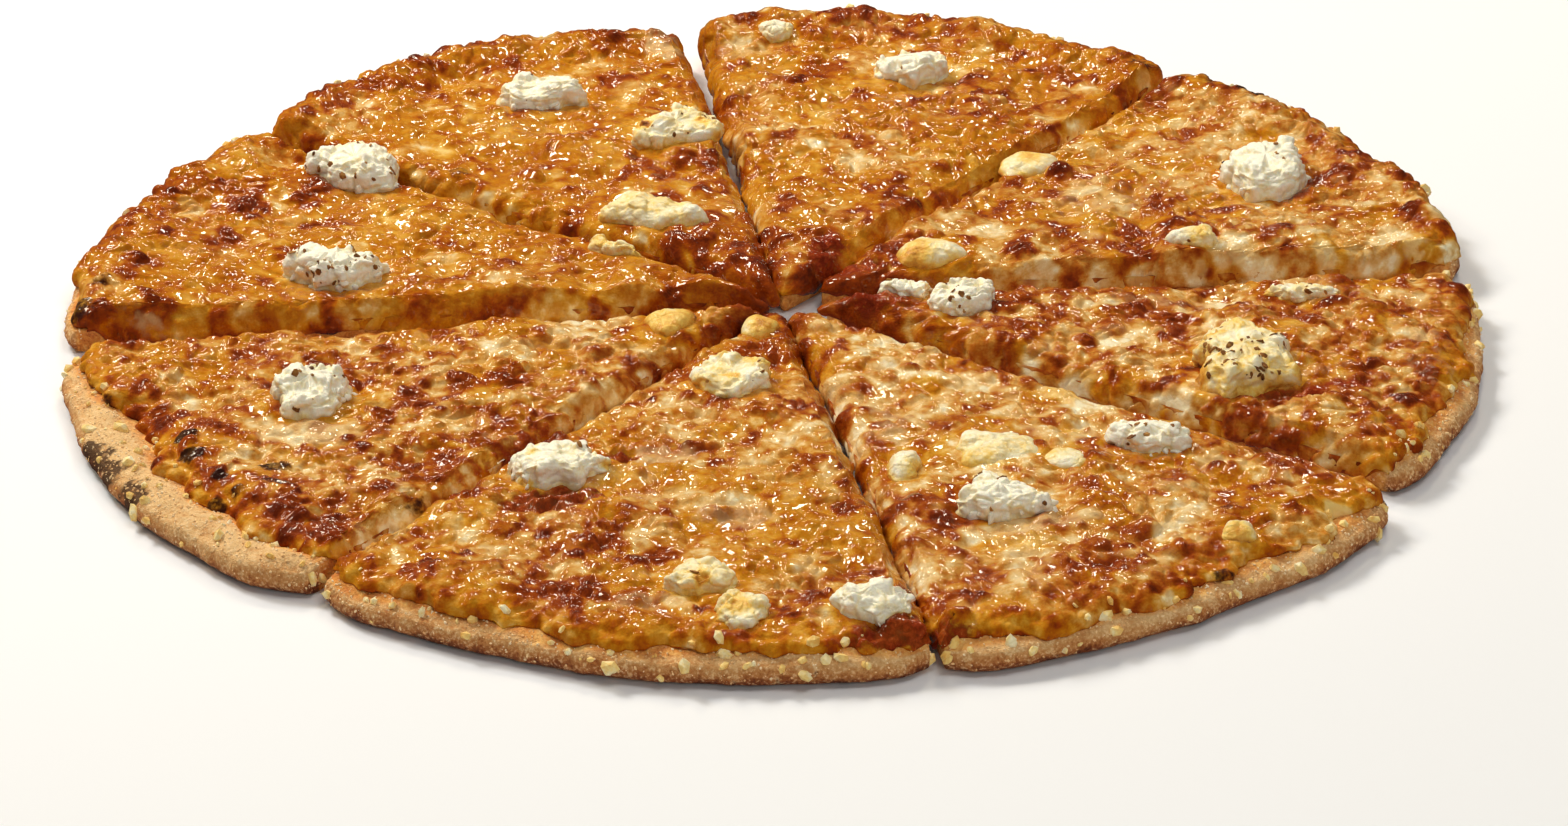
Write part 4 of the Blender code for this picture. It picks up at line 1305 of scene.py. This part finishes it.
@dataclass
class SoftLump:
    """One lump of soft cheese, crumbly or melted, sunk a little into the melted cheese."""

    lump: Lump
    number: int
    plan: Plan
    around: int = 112
    up: int = 46
    crumb: Cells = field(default_factory=lambda: Cells(4.2 * MM, 71, 3))
    curd: Cells = field(default_factory=lambda: Cells(2.1 * MM, 74, 3))
    granule: Cells = field(default_factory=lambda: Cells(1.2 * MM, 72, 3))
    bumps: Lattice = field(default_factory=lambda: Lattice(73))

    @property
    def node(self) -> str:
        """The name of the solid that the lump stands for."""
        return f"soft_cheese_{self.lump.slice_name}_{self.number:02d}"

    def profile(self) -> list[tuple[float, float]]:
        """Width and height of each ring as shares, from the middle of the bottom up over the side."""
        melted = 1.0 - self.lump.look.value[0]
        below = [(part, 0.0) for part in np.linspace(0.1, 1.0, 6)]
        turns = np.linspace(0.0, math.pi / 2, self.up - 5)[1:-1]
        above = [(math.cos(a) ** (0.36 + 0.5 * melted), math.sin(a) ** (0.7 + 0.6 * melted)) for a in turns]
        return below + above + [(0.05, 1.0)]

    def form(self) -> tuple[np.ndarray, np.ndarray]:
        """The lump's plain form.

        Returns:
            Points in rings from the bottom to the top, and how high each lies between 0 and 1.
        """
        rng = np.random.default_rng(100 + self.number)
        phases = rng.uniform(0, math.tau, 3)
        turn = math.radians(self.lump.turn)
        half = np.array((self.lump.length, self.lump.width)) * MM / 2
        centre = np.array(self.lump.centre) * MM
        angle = np.arange(self.around) * math.tau / self.around
        uneven = 1 + 0.10 * np.sin(2 * angle + phases[0]) + 0.07 * np.sin(3 * angle + phases[1])
        outline = half * uneven[:, None] * np.column_stack((np.cos(angle), np.sin(angle)))
        turned = outline @ np.array(((math.cos(turn), math.sin(turn)), (-math.sin(turn), math.cos(turn))))
        edge = centre + turned
        wave = 1.0 + 0.2 * self.bumps.at(edge, 6 * MM) + 0.17 * self.bumps.at(edge, 3.2 * MM)
        melted = 1.0 - self.lump.look.value[0]
        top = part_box(self.node)[1][2] - self.lump.look.value[2] * MM
        rings, raised = [], []
        for width, high in self.profile():
            spots = centre + turned * wave[:, None] * width
            ground = cheese_height(self.plan, *spots.T) - LUMP_FOOT
            tilt = (1.3 - 0.6 * melted) * MM * self.bumps.at(spots + 0.02, 8 * MM)
            rings.append(np.column_stack((spots, ground + (top + tilt - ground) * high)))
            raised.append(np.full(self.around, float(high)))
        return np.vstack(rings), np.concatenate(raised)

    def build(self, material: bpy.types.Material) -> bpy.types.Object:
        """Make the lump."""
        crumble, gold, _ = self.lump.look.value
        points, high = self.form()
        count = self.around
        last = (self.up - 1) * count
        ends = (points[:count].mean(axis=0), points[last:].mean(axis=0))
        points = np.vstack((points, ends))
        high = np.concatenate((high, (0.0, 1.0)))
        k = np.arange(count)
        following = (k + 1) % count
        bottom = np.column_stack((np.full(count, len(points) - 2), following, k))
        cap = np.column_stack((last + k, last + following, np.full(count, len(points) - 1)))
        faces = [bottom, cap] + tube(self.up, count)
        piece = make_object(self.node.replace("cheese", "lump"), points, faces, material)

        def warped(reach: float, shift: float, width: float) -> np.ndarray:
            return points + reach * MM * self.bumps.at(points + shift, width * MM)[:, None]

        near, crease, luck = self.crumb.at(warped(1.1, 0.0, 2.5))
        small, _, small_luck = self.granule.at(warped(0.5, 0.3, 1.5))
        middling, dent, middling_luck = self.curd.at(warped(0.8, 0.6, 2.0))
        plateau = smooth(crease / 0.18)
        round_granule = dome(small, 0.8)
        relief = (1.9 * (luck - 0.5) * plateau - 0.3 * (near / 0.8) ** 2
                  + 0.7 * (middling_luck - 0.4) * smooth(dent / 0.3) - 0.3 * (middling / 0.8) ** 2
                  + 0.18 * (0.3 + small_luck) * (round_granule - 0.4)
                  + 0.15 * self.bumps.at(points, 0.9 * MM)) * crumble + 0.3 * self.bumps.at(points, 3 * MM)
        push_out(piece, relief * MM * (0.25 + 0.75 * smooth(high / 0.3)))
        place = self.bumps.at(points + 0.4, 5 * MM)
        # The foot of the lump is golden partly from browning in the hot cheese and partly as painted shade;
        # the creases between crumbs (1 - plateau) are darker as painted shade.
        edge = 1 - smooth((high - 0.1) / 0.5)
        scorch = gold * (0.75 + 0.7 * place) + (0.12 + 0.3 * gold) * edge
        scorch = scorch + crumble * (0.12 * (1 - plateau) - 0.1 * (luck - 0.5))
        burnt = smooth((self.bumps.at(points + 0.8, 4 * MM) - 0.75 + self.lump.char) / 0.35)
        set_attribute(piece, "scorch", np.clip(scorch + 0.75 * self.lump.char * burnt, 0, 1))
        clump = smooth(0.5 + 2.2 * self.bumps.at(points + 0.5, 5 * MM))
        set_attribute(piece, "flecks", self.lump.flecks * smooth((high - 0.3) / 0.3) * clump)
        loose = smooth((high - 0.02) / 0.05) * smooth((0.6 - high) / 0.3)
        set_attribute(piece, "curds", loose if self.lump.look is Look.CRUMBLY else 0 * loose)
        return piece


@dataclass
class Scatter:
    """Small loose grains laid over a piece by a Geometry Nodes tree."""

    name: str
    attribute: str
    density: float
    smallest: float
    largest: float
    flatness: float
    seed: int
    ragged: float = 0.35
    detail: int = 1

    INPUTS = ("Density", "Smallest", "Largest", "Flatness", "Ragged", "Detail", "Seed")
    WHOLE = ("Detail", "Seed")

    def tree(self, material: bpy.types.Material) -> tuple[bpy.types.NodeTree, dict[str, str]]:
        """Build the tree.

        Args:
            material: the finish of the grains.

        Returns:
            The tree, and the identifier of each of its inputs by name.
        """
        tree = bpy.data.node_groups.new(self.name, "GeometryNodeTree")
        tree.interface.new_socket("Geometry", in_out="INPUT", socket_type="NodeSocketGeometry")
        tree.interface.new_socket("Geometry", in_out="OUTPUT", socket_type="NodeSocketGeometry")
        keys = {}
        for name in self.INPUTS:
            kind = "NodeSocketInt" if name in self.WHOLE else "NodeSocketFloat"
            keys[name] = tree.interface.new_socket(name, in_out="INPUT", socket_type=kind).identifier
        given = tree.nodes.new("NodeGroupInput").outputs
        result = tree.nodes.new("NodeGroupOutput").inputs
        add = partial(add_node, tree)
        share = add("GeometryNodeInputNamedAttribute", {"data_type": "FLOAT"}, {"Name": self.attribute})
        density = add("ShaderNodeMath", {"operation": "MULTIPLY"},
                      {0: share.outputs["Attribute"], 1: given["Density"]})
        spread = add("GeometryNodeDistributePointsOnFaces", {"distribute_method": "RANDOM"},
                     {"Mesh": given["Geometry"], "Density": density.outputs[0], "Seed": given["Seed"]})
        grain = add("GeometryNodeMeshIcoSphere", {}, {"Radius": 0.5, "Subdivisions": given["Detail"]})
        size = add("FunctionNodeRandomValue", {"data_type": "FLOAT"},
                   {2: given["Smallest"], 3: given["Largest"], "Seed": given["Seed"]})
        shape = add("FunctionNodeRandomValue", {"data_type": "FLOAT_VECTOR"},
                    {0: (0.6, 0.6, 0.8), 1: (1.5, 1.0, 1.2), "Seed": 3})
        flat = add("ShaderNodeCombineXYZ", {}, {"X": 1.0, "Y": 1.0, "Z": given["Flatness"]})
        shaped = add("ShaderNodeVectorMath", {"operation": "MULTIPLY"},
                     {0: shape.outputs[0], 1: flat.outputs[0]})
        scale = add("ShaderNodeVectorMath", {"operation": "SCALE"},
                    {0: shaped.outputs[0], "Scale": size.outputs[1]})
        spin = add("FunctionNodeRandomValue", {"data_type": "FLOAT_VECTOR"},
                   {0: (-0.5, -0.5, 0.0), 1: (0.5, 0.5, math.tau), "Seed": 5})
        turned = add("FunctionNodeRotateRotation", {"rotation_space": "LOCAL"},
                     {0: spread.outputs["Rotation"], 1: spin.outputs[0]})
        placed = add("GeometryNodeInstanceOnPoints", {},
                     {"Points": spread.outputs["Points"], "Instance": grain.outputs["Mesh"],
                      "Rotation": turned.outputs[0], "Scale": scale.outputs[0]})
        real = add("GeometryNodeRealizeInstances", {}, {"Geometry": placed.outputs[0]})
        where = add("GeometryNodeInputPosition", {}, {})
        rough = add("ShaderNodeTexNoise", {"noise_dimensions": "3D"},
                    {"Vector": where.outputs[0], "Scale": 1.1 / self.largest, "Detail": 1.0})
        centred = add("ShaderNodeVectorMath", {"operation": "SUBTRACT"},
                      {0: rough.outputs["Color"], 1: (0.5, 0.5, 0.5)})
        reach = add("ShaderNodeMath", {"operation": "MULTIPLY"}, {0: given["Largest"], 1: given["Ragged"]})
        offset = add("ShaderNodeVectorMath", {"operation": "SCALE"},
                     {0: centred.outputs[0], "Scale": reach.outputs[0]})
        moved = add("GeometryNodeSetPosition", {},
                    {"Geometry": real.outputs[0], "Offset": offset.outputs[0]})
        dressed = add("GeometryNodeSetMaterial", {}, {"Geometry": moved.outputs[0], "Material": material})
        tree.links.new(dressed.outputs[0], result[0])
        return tree, keys

    def build(self, carriers: Sequence[bpy.types.Object], material: bpy.types.Material) -> bpy.types.Object:
        """Lay the grains on the carriers.

        Args:
            carriers: pieces whose points carry the attribute.
            material: the finish of the grains.

        Returns:
            One plain mesh object with all the grains.
        """
        tree, keys = self.tree(material)
        parts = []
        for number, carrier in enumerate(carriers):
            ground = bpy.data.objects.new("ground", carrier.data.copy())
            bpy.context.scene.collection.objects.link(ground)
            modifier = ground.modifiers.new(self.name, "NODES")
            modifier.node_group = tree
            for name, key in keys.items():
                modifier[key] = getattr(self, name.lower())
            modifier[keys["Seed"]] = self.seed + number
            graph = bpy.context.evaluated_depsgraph_get()
            mesh = bpy.data.meshes.new_from_object(ground.evaluated_get(graph))
            ground.modifiers.clear()
            bpy.data.objects.remove(ground)
            places = np.empty(len(mesh.vertices) * 3, np.float32)
            mesh.vertices.foreach_get("co", places)
            corners = np.empty(len(mesh.loops), np.int32)
            mesh.loops.foreach_get("vertex_index", corners)
            parts.append((places.reshape(-1, 3), corners.reshape(-1, 3)))
            bpy.data.meshes.remove(mesh)
        shift = np.cumsum([0] + [len(points) for points, _ in parts])
        points = np.vstack([part[0] for part in parts])
        faces = np.vstack([part[1] + start for part, start in zip(parts, shift)])
        piece = make_object(self.name, points, [faces], material)
        if self.detail == 1:
            piece.data.shade_flat()
        return piece


@dataclass(frozen=True)
class Light:
    """A soft rectangular light that points at the pizza, and may glint in the oil."""

    name: str
    place: tuple[float, float, float]
    size: tuple[float, float]
    power: float
    glints: bool = False

    COLOUR = (1.0, 1.0, 1.0)
    GLINT_COLOUR = (1.0, 0.9, 0.7)

    def build(self) -> None:
        """Hang the light."""
        data = bpy.data.lights.new(self.name, "AREA")
        data.shape = "RECTANGLE"
        data.size, data.size_y = self.size
        data.energy = self.power
        data.color = self.GLINT_COLOUR if self.glints else self.COLOUR
        light = bpy.data.objects.new(self.name, data)
        bpy.context.scene.collection.objects.link(light)
        light.visible_glossy = self.glints
        light.location = self.place
        light.rotation_euler = (-Vector(self.place)).to_track_quat("-Z", "Y").to_euler()


@dataclass
class Studio:
    """The camera, the floor and the soft lights."""

    lens_px: float = 5552.0
    width_px: float = 1568.0
    distance: float = 1.169
    elevation: float = 27.32
    roll: float = -0.57
    target: tuple[float, float, float] = (0.0011, -0.0377, 0.0)
    sensor: float = 36.0
    haze: float = 0.05
    floor_reach: float = 6.0
    floor_drop: float = 0.2 * MM

    LIGHTS = (
        Light("key", (-0.70, 0.75, 0.95), (0.3, 0.3), 12.6),
        Light("top", (0.35, -0.25, 1.25), (0.6, 0.6), 3.8),
        Light("sky", (0.0, 0.2, 1.3), (1.6, 1.6), 2.0),
        Light("fill", (0.3, -1.2, 0.7), (0.9, 0.6), 3.4),
        Light("back_left", (-0.5, 1.05, 0.85), (0.2, 0.2), 4.0, True),
        Light("back_high", (0.2, 0.95, 1.0), (0.18, 0.18), 3.6, True),
        Light("side_left", (-0.95, 0.45, 0.85), (0.18, 0.18), 3.6, True),
    )

    def place_camera(self) -> None:
        """Put the camera where the photograph was taken from."""
        tilt, roll = math.radians(self.elevation), math.radians(self.roll)
        back = Vector((0, -math.cos(tilt), math.sin(tilt)))
        spot = Vector(self.target) + back * self.distance
        right = Vector((1, 0, 0))
        up = right.cross(-back)
        side = right * math.cos(roll) + up * math.sin(roll)
        top = -right * math.sin(roll) + up * math.cos(roll)
        data = bpy.data.cameras.new("camera")
        data.lens = self.lens_px / self.width_px * self.sensor
        data.sensor_width = self.sensor
        data.clip_start = 0.01
        camera = bpy.data.objects.new("camera", data)
        bpy.context.scene.collection.objects.link(camera)
        camera.matrix_world = Matrix((
            (side.x, top.x, back.x, spot.x),
            (side.y, top.y, back.y, spot.y),
            (side.z, top.z, back.z, spot.z),
            (0, 0, 0, 1),
        ))
        bpy.context.scene.camera = camera

    def lay_floor(self) -> None:
        """Lay the floor just under the pizza."""
        far = self.floor_reach
        corners = [(-far, -far, 0), (far, -far, 0), (far, far, 0), (-far, far, 0)]
        mesh = bpy.data.meshes.new("floor")
        mesh.from_pydata(corners, [], [(0, 1, 2, 3)])
        mesh.materials.append(FloorFinish().build())
        floor = bpy.data.objects.new("floor", mesh)
        bpy.context.scene.collection.objects.link(floor)
        floor.location.z = -self.floor_drop
        floor.visible_glossy = False

    def build(self) -> None:
        """Set up the studio."""
        self.place_camera()
        for light in self.LIGHTS:
            light.build()
        world = bpy.data.worlds.new("studio")
        bpy.context.scene.world = world
        world.use_nodes = True
        backdrop = world.node_tree.nodes["Background"]
        backdrop.inputs["Color"].default_value = (1.0, 1.0, 1.0, 1.0)
        backdrop.inputs["Strength"].default_value = self.haze
        bpy.context.scene.view_settings.view_transform = "Standard"
        self.lay_floor()


@dataclass
class Pizza:
    """The whole pizza: eight slices, their lumps of soft cheese and the loose grains."""

    triangles: int = 0

    def place(self, piece: bpy.types.Object, slot: Slot, *nodes: str) -> None:
        """Fix a piece to the model, hide the solids that it stands for, and report its triangles."""
        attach(piece, "root")
        if nodes:
            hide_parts(*nodes)
        piece.data.calc_loop_triangles()
        count = len(piece.data.loop_triangles)
        self.triangles += count
        log.info("%s: %d triangles", piece.name, count)

    def build(self) -> None:
        """Make every piece of the pizza."""
        dough, sauce = DoughFinish().build(), SauceFinish().build()
        melted, soft = MeltedCheeseFinish().build(), SoftCheeseFinish().build()
        plans = {piece.name: Plan(piece) for piece in SLICES}
        crusts, sheets, lumps = [], [], []
        for name, plan in plans.items():
            crusts.append(DoughBase(plan).build(dough))
            self.place(crusts[-1], Slot.DOUGH, "crust_" + name)
            self.place(SauceLayer(plan).build(sauce), Slot.SAUCE, "sauce_" + name)
            sheets.append(CheeseSheet(plan).build(melted))
            self.place(sheets[-1], Slot.MELTED, "cheese_" + name)
        for number, lump in enumerate(LUMPS, 1):
            made = SoftLump(lump, number, plans[lump.slice_name])
            lumps.append(made.build(soft))
            self.place(lumps[-1], Slot.SOFT, made.node)
        crumb = GrainFinish("cornmeal_crumb", ((240, 184, 88), (252, 218, 134), (255, 242, 196)), 0.5)
        flour = GrainFinish("flour_grain", ((236, 178, 112), (248, 208, 148), (255, 234, 194)), 0.7)
        herb = GrainFinish("dried_herb", ((84, 48, 18), (138, 86, 34), (184, 132, 66)), 0.75)
        crumbs = Scatter("crumbs", "crumbs", 60000.0, 0.6 * MM, 3.0 * MM, 0.95, 5, 0.5)
        grains = Scatter("flour", "crumbs", 600000.0, 0.25 * MM, 0.75 * MM, 0.8, 50)
        flecks = Scatter("herb_flecks", "flecks", 170000.0, 0.6 * MM, 2.0 * MM, 0.3, 200)
        curds = Scatter("loose_curds", "curds", 60000.0, 0.9 * MM, 2.6 * MM, 0.85, 300, 0.9, 2)
        self.place(curds.build(lumps, soft), Slot.SOFT)
        self.place(crumbs.build(crusts + sheets, crumb.build()), Slot.DOUGH)
        self.place(grains.build(crusts, flour.build()), Slot.DOUGH)
        self.place(flecks.build(lumps, herb.build()), Slot.SOFT)
        log.info("the whole pizza: %d triangles", self.triangles)


def main() -> None:
    """Build the studio and the pizza."""
    logging.basicConfig(level=logging.INFO, format="%(message)s")
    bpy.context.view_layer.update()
    Studio().build()
    Pizza().build()
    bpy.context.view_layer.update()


if __name__ == "__main__":
    main()
